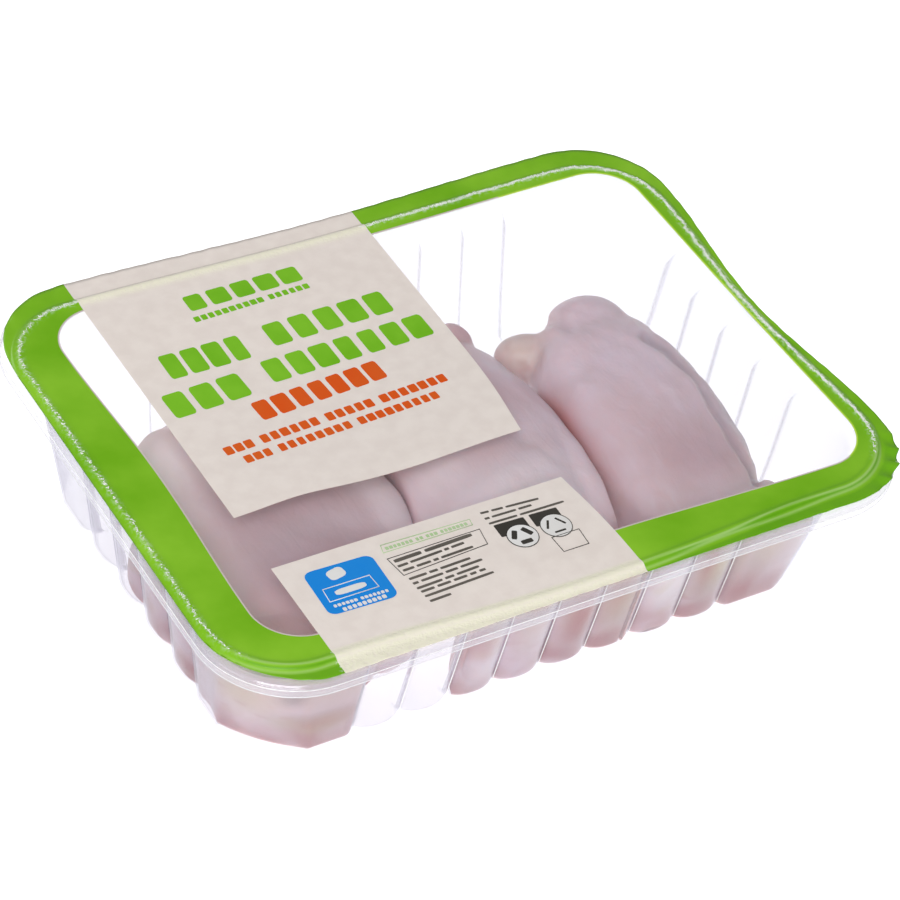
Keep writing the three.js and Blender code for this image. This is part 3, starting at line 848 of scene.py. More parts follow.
def build_film():
    """The film as one thin closed shell, cut along the panels' edges."""
    stations = walk(lambda side: [(0.0, f) for f in np.linspace(-1, 1, (131, 91)[side % 2])[1:-1]], 34)
    inner, window, trap, across, outer = film_rings(stations)
    flat = inner + [window, trap] + across + outer
    along = ring_lengths(outer[-1])
    first_outer = len(flat) - len(outer)
    top = []
    for index, ring in enumerate(flat):
        share = smooth_step(first_outer - 2, len(flat) - 1, float(index))
        raised = np.column_stack([ring, film_height(ring[:, 0], ring[:, 1])])
        top.append(crinkle(raised, along, share, stations))
    kept = [i for i in range(len(flat)) if i % 3 == 0 or i == len(flat) - 1 or 0 <= i - len(inner) < 2]
    below = [top[i] - (0, 0, FILM_THICKNESS) for i in kept]
    middle = np.array([*WINDOW["centre"], float(film_height(*WINDOW["centre"]))])
    vertices = np.concatenate(below + top[::-1] + [np.array([middle - (0, 0, FILM_THICKNESS), middle])])
    return new_piece("printed_film", vertices, skin_faces(len(below) + len(top), len(along)),
                     [window_film, green_ink, cream_ink, green_trap, pale_trap])


# Places of the film's finishes in its list of materials
BARE, GREEN, CREAM, GREEN_TRAP, PALE_TRAP = range(5)


def cut_along_panels(film):
    """Cuts the mesh where the panels' edges run and gives each face its ink."""
    mesh = bmesh.new()
    mesh.from_mesh(film.data)
    cuts = [((x, 0), (1, 0)) for x in PANEL_X] + [((0, y), (0, 1)) for y in PANEL_BREAKS_Y]
    for place, normal in cuts:
        bmesh.ops.bisect_plane(mesh, geom=mesh.verts[:] + mesh.edges[:] + mesh.faces[:], dist=1e-7,
                               plane_co=(place[0] * MM, place[1] * MM, 0), plane_no=(*normal, 0))
    x, y = np.array([face.calc_center_median() for face in mesh.faces]).T[:2] / MM
    in_x = (PANEL_X[0] < x) & (x < PANEL_X[1])
    on_panel = in_x & ~((PANEL_BREAKS_Y[1] < y) & (y < PANEL_BREAKS_Y[0]))
    edge = distance_from(outline(WINDOW), x, y)
    trap = np.where((x > 95) | ((x > 60) & (y > 0)), GREEN_TRAP, PALE_TRAP)
    inks = np.select([on_panel, edge < 0, edge < TRAP_WIDTH], [CREAM, BARE, trap], GREEN)
    for face, ink in zip(mesh.faces, inks):
        face.material_index = int(ink)
    mesh.to_mesh(film.data)
    mesh.free()


def marks_on_film(x, y):
    """Where the seal's paler tone lies, partly frosted film and partly painted sparkle and highlight, and where
    the film at the stretched front gets painted highlight lines and painted shade lines.
    """
    off_seal = distance_from(outline(SEAL), x, y)

    def line(place, width):
        return np.exp(-((off_seal - place) / width) ** 2)

    at_front = 1 - smooth_step(-76, -64, y)
    on_panel = (x > PANEL_X[0]) & (x < PANEL_X[1])
    # On the panels the seal's pale band over the flange is partly a painted highlight, with a painted shade
    # line at the front
    panel_front = smooth_step(-2.6, -1.2, off_seal) * (1 - 0.4 * line(1.1, 0.35))
    panel_back = line(-0.4, 1.7)
    at_left = 1 - smooth_step(-100, -90, x)
    # On the green the seal's paler tone is painted sparkle where the seal glitters: none at the front, less at
    # the left
    green = line(0, 0.9) * (1 - at_front) * (1 - 0.45 * at_left)
    drift = 0.3 * waviness(np.stack([x, 0 * x, 0 * x], 1), 40.0, 61)
    # Painted highlight lines and painted shade lines at the front; the shade also darkens the band past the
    # bead
    bright = 0.8 * line(0.5 + drift, 0.32) + 0.6 * line(1.9 - drift, 0.35)
    deep = 0.7 * line(1.2, 0.35) + 0.5 * smooth_step(2.3, 3.4, off_seal) + 0.3 * line(-0.9, 0.5)
    return {"sealed": np.where(on_panel, np.where(y < 0, panel_front, panel_back), green),
            "bright": at_front * bright, "deep": at_front * deep}


film = build_film()
cut_along_panels(film)
places = np.array([v.co for v in film.data.vertices]) / MM
film_marks = marks_on_film(places[:, 0], places[:, 1])
for label, values in film_marks.items():
    set_attribute(film, label, values)
for vertex, place in zip(film.data.vertices, panel_waves(places)):
    vertex.co = place * MM
dress(film, "film", slot="printed_film")
measure(film)

# %% [markdown]
# ## The crinkled seal
#
# Along the bead the hot bar has crinkled the film into tiny bright folds. Their white is partly frosted film
# and partly painted sparkle, and how densely they lie, fully at the back and right and not at the front,
# follows where the seal glitters. There are more than a thousand of them, so a small tree scatters them: it
# takes lines along the bead, sets points on them at an even distance, drops some by the lines' own density,
# and puts a small tilted lens on each of the others.

# %% Node tree that scatters the seal's folds
def wrinkle_tree():
    """Geometry nodes: points along paths, and a small lens of random size and turn on each."""
    tree, given = new_tree("seal_wrinkles", Spacing="Float", Size="Float", Seed="Int", Finish="Material")
    curves = add_node(tree, "GeometryNodeMeshToCurve", {"Mesh": given["Geometry"]})
    even = add_node(tree, "GeometryNodeResampleCurve", {
        "Curve": curves.outputs[0], "Length": given["Spacing"]}, mode="LENGTH")
    density = add_node(tree, "GeometryNodeInputNamedAttribute", {"Name": "density"}, data_type="FLOAT")
    kept = add_node(tree, "FunctionNodeRandomValue", {
        "Probability": density.outputs["Attribute"], "Seed": given["Seed"]}, data_type="BOOLEAN")
    lens = add_node(tree, "GeometryNodeMeshIcoSphere", {"Radius": 1.0, "Subdivisions": 1})
    stretch = add_node(tree, "FunctionNodeRandomValue", {
        "Min": (0.5, 0.2, 0.15), "Max": (1.5, 0.5, 0.4), "Seed": given["Seed"]}, data_type="FLOAT_VECTOR")
    size = add_node(tree, "ShaderNodeVectorMath", {0: stretch.outputs[0], "Scale": given["Size"]},
                    operation="SCALE")
    turn = add_node(tree, "FunctionNodeRandomValue", {
        "Min": (-0.5, -0.5, 0.0), "Max": (0.5, 0.5, 6.28), "Seed": given["Seed"]}, data_type="FLOAT_VECTOR")
    spin = add_node(tree, "FunctionNodeEulerToRotation", {"Euler": turn.outputs[0]})
    placed = add_node(tree, "GeometryNodeInstanceOnPoints", {
        "Points": even.outputs[0], "Selection": kept.outputs["Value"], "Instance": lens.outputs["Mesh"],
        "Rotation": spin.outputs[0], "Scale": size.outputs["Vector"]})
    return end_tree(tree, placed.outputs[0], given["Finish"])


# %% Scatter the folds along the bead
def on_film(points, lift):
    """Flat points, each lifted onto the film's top face."""
    points = np.asarray(points, float)
    return np.column_stack([points[:, :2], film_height(points[:, 0], points[:, 1]) + lift])


def seal_sparkle_density(x, y):
    """How densely the seal's white folds lie: fully at the back and right, less at the left, not at all at the
    front, which follows where the seal glitters and so is painted sparkle.
    """
    on_panel = smooth_step(PANEL_X[0] - 3, PANEL_X[0], x) * (
        1 - smooth_step(PANEL_X[1] - 1, PANEL_X[1] + 2, x))
    at_front = 1 - smooth_step(-76, -58, y)
    at_left = 1 - smooth_step(-100, -90, x)
    return (1 - on_panel) * (1 - at_front) * (1 - 0.7 * at_left)


# Crinkled film lies in many tiny facets, so it looks frosted and white; the white is also painted sparkle
crinkle_white_painted_sparkle = clear_sheet("crinkled_film_painted_sparkle", "ffffff", 0.9, 0.2, edge_tint_and_shade="e4eadc")
seal_lines = []
for offset in (-0.4, -0.1, 0.15):
    ring = points_on(plain_stations, outline(SEAL, offset), 0)
    ring[:, :2] += 0.3 * np.column_stack([waviness(ring, 7.0, 71), waviness(ring, 7.0, 72)])
    seal_lines.append((on_film(ring, -0.03), True))
wrinkles = path_piece("seal_wrinkles", seal_lines)
starts = np.concatenate([line for line, _ in seal_lines])
set_attribute(wrinkles, "density", seal_sparkle_density(starts[:, 0], starts[:, 1]))
run_nodes(wrinkles, wrinkle_tree(), {
    "Spacing": 0.7 * MM, "Size": 0.5 * MM, "Seed": 7, "Finish": crinkle_white_painted_sparkle})
dress(wrinkles, slot="printed_film")
measure(wrinkles)

# %% [markdown]
# ## Print on the panels
#
# The panels carry rows of words, small print, a blue badge and two signs about the tray and the film. All of
# it is kept generic: a row of words is a row of plain rounded bars, one for each letter of a title or each
# word of the small print, and the signs are discs, rings and boxes. Images or real letters could be used, but
# bars need no font and name nobody. The bars repeat by a rule, so a small tree sets them out, from points
# that carry each bar's width, height and turn.

# %% Node tree that sets out printed bars
def bar_tree():
    """Geometry nodes: a rounded bar on each point, as wide, tall and turned as the point says."""
    tree, given = new_tree("printed_bars", Corner="Float", Steps="Int", Depth="Float", Finish="Material")
    square = add_node(tree, "GeometryNodeCurvePrimitiveQuadrilateral", {"Width": 1.0, "Height": 1.0})
    rounded = add_node(tree, "GeometryNodeFilletCurve", {
        "Curve": square.outputs[0], "Radius": given["Corner"], "Count": given["Steps"]}, mode="POLY")
    upright = add_node(tree, "GeometryNodeCurvePrimitiveLine", {"End": (0.0, 0.0, 1.0)})
    bar = add_node(tree, "GeometryNodeCurveToMesh", {
        "Curve": upright.outputs[0], "Profile Curve": rounded.outputs[0], "Fill Caps": True})
    wide, tall, turn = (
        add_node(tree, "GeometryNodeInputNamedAttribute", {"Name": name},
                 data_type="FLOAT").outputs["Attribute"]
        for name in ("wide", "tall", "turn"))
    size = add_node(tree, "ShaderNodeCombineXYZ", {"X": wide, "Y": tall, "Z": given["Depth"]})
    angle = add_node(tree, "ShaderNodeCombineXYZ", {"Z": turn})
    spin = add_node(tree, "FunctionNodeEulerToRotation", {"Euler": angle.outputs[0]})
    placed = add_node(tree, "GeometryNodeInstanceOnPoints", {
        "Points": given["Geometry"], "Instance": bar.outputs[0], "Rotation": spin.outputs[0],
        "Scale": size.outputs[0]})
    return end_tree(tree, placed.outputs[0], given["Finish"])


bars = bar_tree()
INK_DEPTH = 0.02
LAYER_LIFT = 0.03
# Gap between words, in letters
WORD_GAP = 0.6


def bar_in(box, start=0.0, end=1.0, fill=1.0):
    """A bar between two shares of a row's length. box is the row's left and right end and its height."""
    left, right, height = np.array(box[0], float), np.array(box[1], float), box[2]
    middle = left + (right - left) * (start + end) / 2
    span = np.linalg.norm(right - left)
    turn = math.atan2(*(right - left)[::-1])
    return (*middle, span * (end - start) * fill, height, turn)


def word_row(left, right, height, words, letters=True):
    """Bars for a row of words, given by their numbers of letters: one bar a letter, or one a word."""
    length = sum(words) + WORD_GAP * (len(words) - 1)
    draw = np.random.default_rng(int(abs(left[0] * 10)))
    row, at = [], 0.0
    for count in words:
        if letters:
            row += [bar_in((left, right, height), (at + letter) / length, (at + letter + 1) / length,
                           draw.uniform(0.68, 0.84)) for letter in range(count)]
        else:
            row.append(bar_in((left, right, height), at / length, (at + count - 0.3) / length))
        at += count + WORD_GAP
    return row


def print_bars(name, rows, finish, layer=1, corner=0.16, steps=4):
    """Prints bars on the film. A higher layer lies on a lower one."""
    table = np.array(rows)
    mesh = bpy.data.meshes.new(name)
    mesh.from_pydata([(x * MM, y * MM, 0) for x, y in table[:, :2]], [], [])
    piece = bpy.data.objects.new(name, mesh)
    bpy.context.scene.collection.objects.link(piece)
    for label, values in (("wide", table[:, 2] * MM), ("tall", table[:, 3] * MM), ("turn", table[:, 4])):
        set_attribute(piece, label, values)
    run_nodes(piece, bars, {"Corner": corner, "Steps": steps, "Depth": INK_DEPTH * MM, "Finish": finish})
    places = np.array([v.co for v in piece.data.vertices]) / MM
    places[:, 2] += film_height(places[:, 0], places[:, 1]) + LAYER_LIFT * layer
    for vertex, place in zip(piece.data.vertices, places):
        vertex.co = place * MM
    outward(piece)
    return dress(piece, slot="printed_film")


def outward(piece):
    """Turns all faces outward."""
    mesh = bmesh.new()
    mesh.from_mesh(piece.data)
    bmesh.ops.recalc_face_normals(mesh, faces=mesh.faces)
    mesh.to_mesh(piece.data)
    mesh.free()


def print_lines(name, loops, finish, width):
    """Prints closed lines on the film: each loop is a list of flat points."""
    lines = run_nodes(path_piece(name, [(on_film(loop, LAYER_LIFT), True) for loop in loops]), sweep,
                      {"Radius": width / 2 * MM, "Finish": finish})
    return dress(lines, slot="printed_film")


# %% Title, small print, badge and signs
# Each ink is a flat, strong tone under the film's gloss, with a mottle 20 mm wide that hardly shows
leaf_print = printed_film("leaf_green_print", "78c416", "88d028", "f4faec", 20)
orange_print = printed_film("orange_print", "ea5a0c", "e8661c", "f4faec", 20)
dark_print = printed_film("dark_grey_print", "3b3833", "4a4640", "f4faec", 20)
grey_print = printed_film("grey_small_print", "625d56", "706a62", "f4faec", 20)
blue_print = printed_film("blue_print", "1490ec", "1e94ea", "f4faec", 20)
white_print = printed_film("white_print", "f4f3f1", "eceae6", "f4faec", 20)
pale_print = printed_film("pale_green_print", "b9d8a0", "c4dcae", "f4faec", 20)

print_bars("green_title", word_row((-54.5, 64.5), (-14.6, 64.9), 6.8, [5])
           + word_row((-54.6, 57.4), (-15.1, 58.5), 2.3, [10, 6])
           + word_row((-72.9, 41.5), (-45, 41.4), 10.6, [4])
           + word_row((-38.7, 42.6), (4.2, 43.3), 9.8, [5])
           + word_row((-79.9, 25.7), (-52.8, 26.8), 10.4, [3])
           + word_row((-46.4, 28.4), (9.9, 29.5), 9.8, [7]),
           leaf_print)
print_bars("orange_title", word_row((-56.8, 14.2), (-12.8, 17.2), 8.0, [7])
           + word_row((-72.8, 2.8), (2.6, 6.4), 3.4, [3, 6, 5, 7])
           + word_row((-69.0, -2.4), (-3.2, 0.7), 3.1, [3, 8, 9]), orange_print)

small_rows = [
    ((-49.9, -55.4), (-24.1, -54.7), 1.3, [7, 12]), ((-49.9, -57.6), (-27.9, -56.7), 0.9, [4, 12, 2, 5]),
    ((-49.4, -59.6), (-26.3, -59.1), 0.9, [4, 5, 2, 11]), ((-49.5, -63.2), (-29.4, -62.8), 0.9, [6, 3, 10]),
    ((-49.4, -65.2), (-26.6, -64.6), 0.9, [2, 7, 4, 7]), ((-49.3, -67.3), (-28.8, -66.6), 0.9, [8, 3, 7]),
    ((-48.9, -68.9), (-27.6, -68.3), 0.9, [4, 4, 4, 2, 2]), ((-48.8, -70.9), (-26.2, -70.3), 0.9, [22]),
    ((-48.5, -73.1), (-41.4, -72.9), 0.9, [7]), ((-17.8, -48.2), (1.0, -49.5), 0.8, [3, 4, 11]),
    ((-17.8, -50.7), (-2.3, -51.0), 0.8, [2, 9, 5]), ((-17.7, -52.9), (7.1, -53.4), 0.8, [9, 14]),
]
signs = [bar_in(((-17.1, -56.6), (-7.4, -56.9), 5.2)), bar_in(((-5.7, -56.8), (3.3, -57.2), 5.2))]
print_bars("small_print", [bar for row in small_rows for bar in word_row(*row, letters=False)], grey_print)
print_bars("sign_headers", signs, dark_print, corner=0.06)
RINGS = ((-11.4, -61.0), (-0.4, -61.1))
DISC = 9.2
ARROW_REACH, ARROW_LENGTH, ARROW_WIDTHS = 2.4, 3.6, (1.6, 0.7)
print_bars("sign_discs", [(x, y, DISC, DISC, 0) for x, y in RINGS], white_print, layer=2, corner=0.5,
           steps=10)
arrows = [(x + ARROW_REACH * math.cos(turn), y + ARROW_REACH * math.sin(turn), ARROW_LENGTH, width,
           turn + math.pi / 2)
          for (x, y), width in zip(RINGS, ARROW_WIDTHS)
          for turn in (math.pi / 6, 5 * math.pi / 6, 3 * math.pi / 2)]
print_bars("sign_arrows", arrows, dark_print, layer=3)
print_bars("badge", [(-65.5, -58.7, 21.4, 17.6, -0.03)], blue_print, corner=0.13, steps=6)
print_bars("badge_marks", [(-67.1, -53.2, 5.4, 3.9, 0.2), (-66.2, -60.0, 9.6, 2.2, 0)]
           + word_row((-74, -64.3), (-56.8, -64.7), 1.1, [6, 7])
           + word_row((-72.3, -66.4), (-58.4, -66.4), 1.4, [9]),
           white_print, layer=2, corner=0.3)


def circle(x, y, radius, count=36):
    """Flat points round a circle."""
    turns = [2 * math.pi * step / count for step in range(count)]
    return [(x + radius * math.cos(turn), y + radius * math.sin(turn)) for turn in turns]


print_lines("dark_outlines", [circle(*ring, DISC / 2) for ring in RINGS] + [
    [(-51.2, -53.8), (-21.3, -53.7), (-22.3, -59.9), (-50.1, -61.3)],
    [(-4.2, -64.9), (4.8, -64.9), (4.3, -71.2), (-4.0, -71.2)]], dark_print, 0.3)
print_lines("pale_outlines", [[(-50.3, -48.3), (-21.9, -49.1), (-22.2, -51.4), (-51.0, -51.3)]],
            pale_print, 0.3)
print_lines("badge_outline", [[(-73.6, -57.4), (-58.9, -57.4), (-58.6, -62.4), (-74.0, -62.4)]],
            white_print, 0.4)
print_bars("pale_small_print", word_row((-49.8, -50.0), (-23.2, -50.3), 1.2, [7, 2, 3, 7]), pale_print)

# %% [markdown]
# ## The bodies of the thighs
#
# A raw thigh is a soft lump of muscle in loose skin that takes the shape of what it presses on. It could be
# sculpted by hand, or simulated as cloth, but packed meat is mostly pressure: so each thigh starts as a plump
# squarish lump with smaller lumps for its folds and its joint, all are fused by a voxel remesh, which leaves
# soft creases where they meet, and the result is pushed in from the walls, the floor, the film and its
# neighbours.

# %% Sizes of the thighs
# The tapers narrow its back and its front end, lean thickens its back, and a lobe is a swelling on its skin:
# degrees round, degrees along from the back, width and height
THIGHS = {
    "thigh_left": dict(centre=(-60, -14.5, 21), half=(35.4, 55.4, 21), yaw=-2, square=2.8,
                       tapers=(.05, .25), lean=-.08, lobes=[(150, 50, 34, 1.8)]),
    "thigh_middle": dict(centre=(2.7, -12, 22), half=(37.2, 56.3, 22.7), yaw=-13, square=2.4,
                         tapers=(.35, .1), lean=.02, lobes=[(40, 22, 20, 4.3)]),
    "thigh_right": dict(centre=(60.5, -16, 22), half=(27.5, 55, 22.7), yaw=-5, square=2.6,
                        tapers=(.22, .12), lean=.04, lobes=[(150, 30, 24, -6)]),
}
# Smaller lumps: place, half sizes, turn about the vertical in degrees, and how square they are
LUMPS = {
    "thigh_left": [((-90, -66, 20), (24, 22, 19.5), 0, 4), ((-88, -21, 13), (15, 34, 13), 0, 3),
                   ((-74, -70, 18), (13, 13, 17.5), 0, 3.5), ((-34, -22, 30), (11, 42, 11), 0),
                   ((-76, 20, 30), (15, 16, 10.5), 0)],
    "thigh_middle": [((27.5, 38, 27.5), (7, 10, 8), 0), ((-22.5, -72, 20), (10.6, 11, 25), 0, 3.5),
                     ((-22, -16, 30), (10, 40, 11), 0), ((29, -26, 31), (10, 40, 9), 4),
                     ((-8, -72, 20), (9, 11, 25), 10, 3.5), ((8, -72, 20), (9, 11, 25), -8, 3.5),
                     ((20, -72, 20), (9, 11, 25), 0, 3.5)],
    "thigh_right": [((67, 25, 29), (14, 14.5, 14), 15), ((46.5, 27.5, 26.5), (10.5, 8, 7.5), -15),
                    ((56, 20, 28), (10, 12, 13), 0), ((79.5, -14, 31.5), (6.5, 24, 7), 2),
                    ((43, -26, 31), (10, 38, 9), 2), ((35, -71, 19), (13, 12, 24), 0, 3.5),
                    ((55, -72, 20), (10, 11, 25), 0, 3.5),
                    ((72, -68, 20), (12, 14, 19), 8, 3.5), ((80, -58, 14), (12, 14, 13.5), 0, 3)],
}
# Lines along which the skin is folded in or stands up: points, width, and height (negative is a groove)
FOLDS = {
    "thigh_left": [],
    "thigh_middle": [([(33, 33, 33), (30, 28, 38), (29, 22, 42)], 2.5, -1.5),
                     ([(20, 14, 44), (26, 0, 43), (30, -16, 41)], 1.4, 0.35),
                     ([(8, -8, 45), (16, -24, 45), (22, -40, 44)], 1.6, -0.35)],
    "thigh_right": [
        ([(74, 8, 41), (78, 0, 40), (79.5, -10, 38.5), (79.5, -20, 37.5), (78, -31, 37), (76.5, -42, 36.5),
          (75, -55, 34)], 1.5, -2.4),
        ([(72, 6, 42), (75.5, -5, 41.5), (76.5, -14, 41), (76, -22, 40), (74.5, -31, 40), (73, -42, 39),
          (72, -55, 37)], 2.0, 0.5),
        ([(52, 36, 33), (55, 30, 36), (57, 22, 39)], 1.8, -1.3),
        ([(59, 31, 41), (64, 22, 44), (71, 14, 44)], 1.6, -0.4),
        ([(58, 20, 41), (65, 6, 44), (70, -8, 44)], 1.3, -0.25),
        ([(43, 5, 42), (55, 8, 44), (66, 5, 44)], 1.0, -0.2),
        ([(54, 12, 41), (60, -4, 44), (67, -20, 44.5)], 1.3, 0.2),
    ],
}
# Patches of flesh, of fat, of thin pale skin with painted light, and of painted shade: place, reach (one for
# all ways or one each) and strength
FLESH = {
    "thigh_left": [((-60, -40, 40), 50, 0.22), ((-80, -52, 42), 26, 0.36), ((-72, -78, 3), (12, 12, 5), 0.6),
                   ((-78, -76, 13), (14, 9, 5), 0.7), ((-98, -66, 6), (10, 12, 5), 0.7),
                   ((-100, -7, 11), (6, 5, 7), 1.0), ((-99, -28, 7), (6, 17, 5), 0.85)],
    "thigh_middle": [((14, 2, 43), 12, 0.22), ((24, -2, 43), 9, 0.18), ((8, -21, 43), (18, 5, 8), 0.3),
                     ((29, 38, 33), 9, 0.35), ((-11, -75, 38), (6, 8, 5), 0.8),
                     ((6.9, -75, 20), (7, 8, 18), 1.0), ((18, -75, 33), (4, 8, 15), 0.6),
                     ((-31, -75, 21), (6, 8, 9), 0.9), ((-34, -71, 3), (3, 8, 3), 0.9),
                     ((-24, -75, 3), (8, 8, 5), 0.7), ((22, -75, 3), (8, 8, 5), 0.5),
                     ((-29, -75, 3), (8, 8, 4), 0.7)],
    "thigh_right": [((62, -44, 41), 15, 0.24), ((57, 30, 36), 9, 0.16), ((49, -75, 30), (3, 8, 18), 0.7),
                    ((41, -75, 4), (8, 8, 5), 1.0), ((56, -75, 4), (9, 8, 6), 1.0),
                    ((66, -74, 6), (6, 10, 9), 1.0)],
}
FAT = {
    "thigh_left": [((-98, -60, 26), (12, 12, 12), 0.8), ((-92, -74, 13), (11, 9, 5), 1.0),
                   ((-78, -76, 12), (11, 9, 5), 1.0)],
    "thigh_middle": [((-10, -75, 38), (6, 5, 6), 0.7), ((20, -75, 24), (9, 6, 22), 0.7)],
    "thigh_right": [((43, 27, 29), 8, 0.6), ((54, -75, 24), (9, 7, 16), 0.9),
                    ((70, -74, 26), (8, 8, 14), 0.5)],
}
# Pale patches: partly thin pale skin, and partly painted light where the panels' edges and the ribs would shade
# the meat
PALE_SKIN_AND_PAINTED_LIGHT = {
    "thigh_left": [((-83, 18, 40), (16, 14, 9), 0.45), ((-33, -22, 40), (10, 22, 8), 0.6),
                   ((-56, -26, 42), (22, 7, 8), 0.35)],
    "thigh_middle": [((-36.5, -72, 26), (4, 12, 19), 1.0), ((-26, -75, 9), (8, 8, 7), 1.0),
                     ((-8, -75, 20), (5, 8, 12), 0.3), ((4, -38, 44), (26, 26, 12), 0.5),
                     ((-12, -22, 43), (14, 9, 8), 0.5), ((10, -22, 44), (20, 8, 8), 0.35)],
    "thigh_right": [((36, -75, 22), (7.5, 7, 13), 1.0), ((85, -64, 26), (9, 14, 22), 0.9)],
}
# Painted shade: dusky patches where the meat lies in shadow, by the frame, in hollows and in the ribs at the
# front
SHADE = {
    "thigh_left": [((-90, -52, 44), (16, 34, 9), 0.5), ((-68, -36, 43), (30, 34, 9), 0.42),
                   ((-88, -72, 28), (5, 6, 5), 1.0), ((-82, -74, 14), (20, 9, 6), 0.7)],
    "thigh_middle": [((22, -75, 24), (9, 8, 22), 0.6), ((7, -75, 24), (8, 8, 22), 0.5)],
    "thigh_right": [((85, -24, 33), (6, 34, 10), 0.65), ((58, -50, 43), (22, 18, 9), 0.25),
                    ((54, -75, 24), (9, 8, 20), 1.0), ((40, -75, 37), (12, 8, 5), 0.6),
                    ((67, -74, 22), (7, 9, 16), 0.45)],
}


def soft_power(value, square):
    """The sine or cosine of a squarish round."""
    return np.sign(value) * np.abs(value) ** (2 / square)


def thigh_points(thigh, around=72, lengthwise=48):
    """A thigh before it is packed, as rings from its back to its front, with an end point each."""
    turn = np.linspace(0, 2 * np.pi, around, endpoint=False)[None, :]
    along = np.concatenate([np.linspace(0, np.pi, lengthwise + 1)[1:-1], [0, np.pi]])[:, None]
    half_x, half_y, half_z = thigh["half"]
    end = soft_power(np.cos(along), thigh["square"])
    thick = soft_power(np.abs(np.sin(along)), thigh["square"])
    taper = 1 - np.where(end > 0, *thigh["tapers"]) * end * end
    swell = 0.0
    for lobe_turn, lobe_along, width, height in thigh["lobes"]:
        apart = (np.degrees(turn) - lobe_turn + 180) % 360 - 180
        away = np.hypot(apart * np.sin(along), np.degrees(along) - lobe_along) / width
        swell = swell + height * np.exp(-away ** 2)
    across = (half_x * taper * thick + swell * np.sin(along)) * soft_power(np.cos(turn), thigh["square"])
    depth = (half_y + swell) * end
    upright = half_z * (1 + thigh["lean"] * end) * thick + 0.3 * swell
    lift = upright * soft_power(np.sin(turn), thigh["square"])
    yaw = math.radians(thigh["yaw"])
    cx, cy, cz = thigh["centre"]
    points = np.stack([cx + across * math.cos(yaw) - depth * math.sin(yaw),
                       cy + across * math.sin(yaw) + depth * math.cos(yaw), cz + lift], -1)
    return np.concatenate([points[:-2].reshape(-1, 3), points[-2:, 0]]), around, lengthwise - 1


def lump_points(place, half, yaw, square=2.0, around=24, rings=15):
    """An egg-shaped or squarish lump as rings from its bottom to its top."""
    turn = np.linspace(0, 2 * np.pi, around, endpoint=False)[None, :]
    rise = np.linspace(-np.pi / 2, np.pi / 2, rings + 2)[1:-1, None]
    angle = math.radians(yaw)
    wide = soft_power(np.cos(rise), square)
    body = np.stack(np.broadcast_arrays(half[0] * wide * soft_power(np.cos(turn), square),
                                        half[1] * wide * soft_power(np.sin(turn), square),
                                        half[2] * soft_power(np.sin(rise), square)), -1).reshape(-1, 3)
    points = np.concatenate([body, [(0, 0, -half[2]), (0, 0, half[2])]])
    cos, sin = math.cos(angle), math.sin(angle)
    spin = np.array([[cos, sin, 0], [-sin, cos, 0], [0, 0, 1]])
    return points @ spin + np.array(place), around, rings


# %% Where the meat may go
def left_crease(y):
    """The line where the left and middle thighs press together, as x at a given y."""
    return -25.4 - 16 * smooth_step(13, 73, -y) - 7 * smooth_step(0, 50, y)


def right_crease(y):
    """The line where the middle and right thighs press together."""
    return 35 - 0.0029 * np.minimum(np.abs(y), 60) ** 2


CREASE_GAP = 0.1
CREASE_SOFTNESS = 1.2


def held_below(value, limit):
    """The value where it is well below the limit, and an ever closer approach to the limit beyond."""
    return limit - CREASE_SOFTNESS * np.logaddexp(0, (limit - value) / CREASE_SOFTNESS)


def press_between(points, name):
    """Keeps a thigh on its own side of the creases, with half a gap."""
    x, y = points[:, 0], points[:, 1]
    if name == "thigh_left":
        points[:, 0] = held_below(x, left_crease(y) - CREASE_GAP)
    if name == "thigh_middle":
        kept_right = -held_below(-x, -left_crease(y) - CREASE_GAP)
        points[:, 0] = held_below(kept_right, right_crease(y) - CREASE_GAP)
    if name == "thigh_right":
        points[:, 0] = -held_below(-x, -right_crease(y) - CREASE_GAP)
    return points


def rib_fill(points):
    """How far the meat fills the ribs: nearly to the wall, but less beside the empty ribs at the front."""
    x, z = points[:, 0], points[:, 2]
    half_gap = 0.7 * np.exp(-((x + 29) / 3) ** 2) * smooth_step(6, 14, z)
    return np.clip((0.97 + 0.06 * waviness(points, 22.0, 5)) * (1 - half_gap), 0, 1)


# The meat's rounding at the floor, its clearance from the sheet and the height where the film holds it down
MEAT_EDGE = 3.0
CLEARANCE = 0.25
HELD_DOWN = SEAL_HEIGHT - 2.3
# The empty place behind two ribs at the front: how deep, where its middle is and half its length
FRONT_GAP, GAP_MIDDLE, GAP_REACH = 14.0, -48.3, 13.7


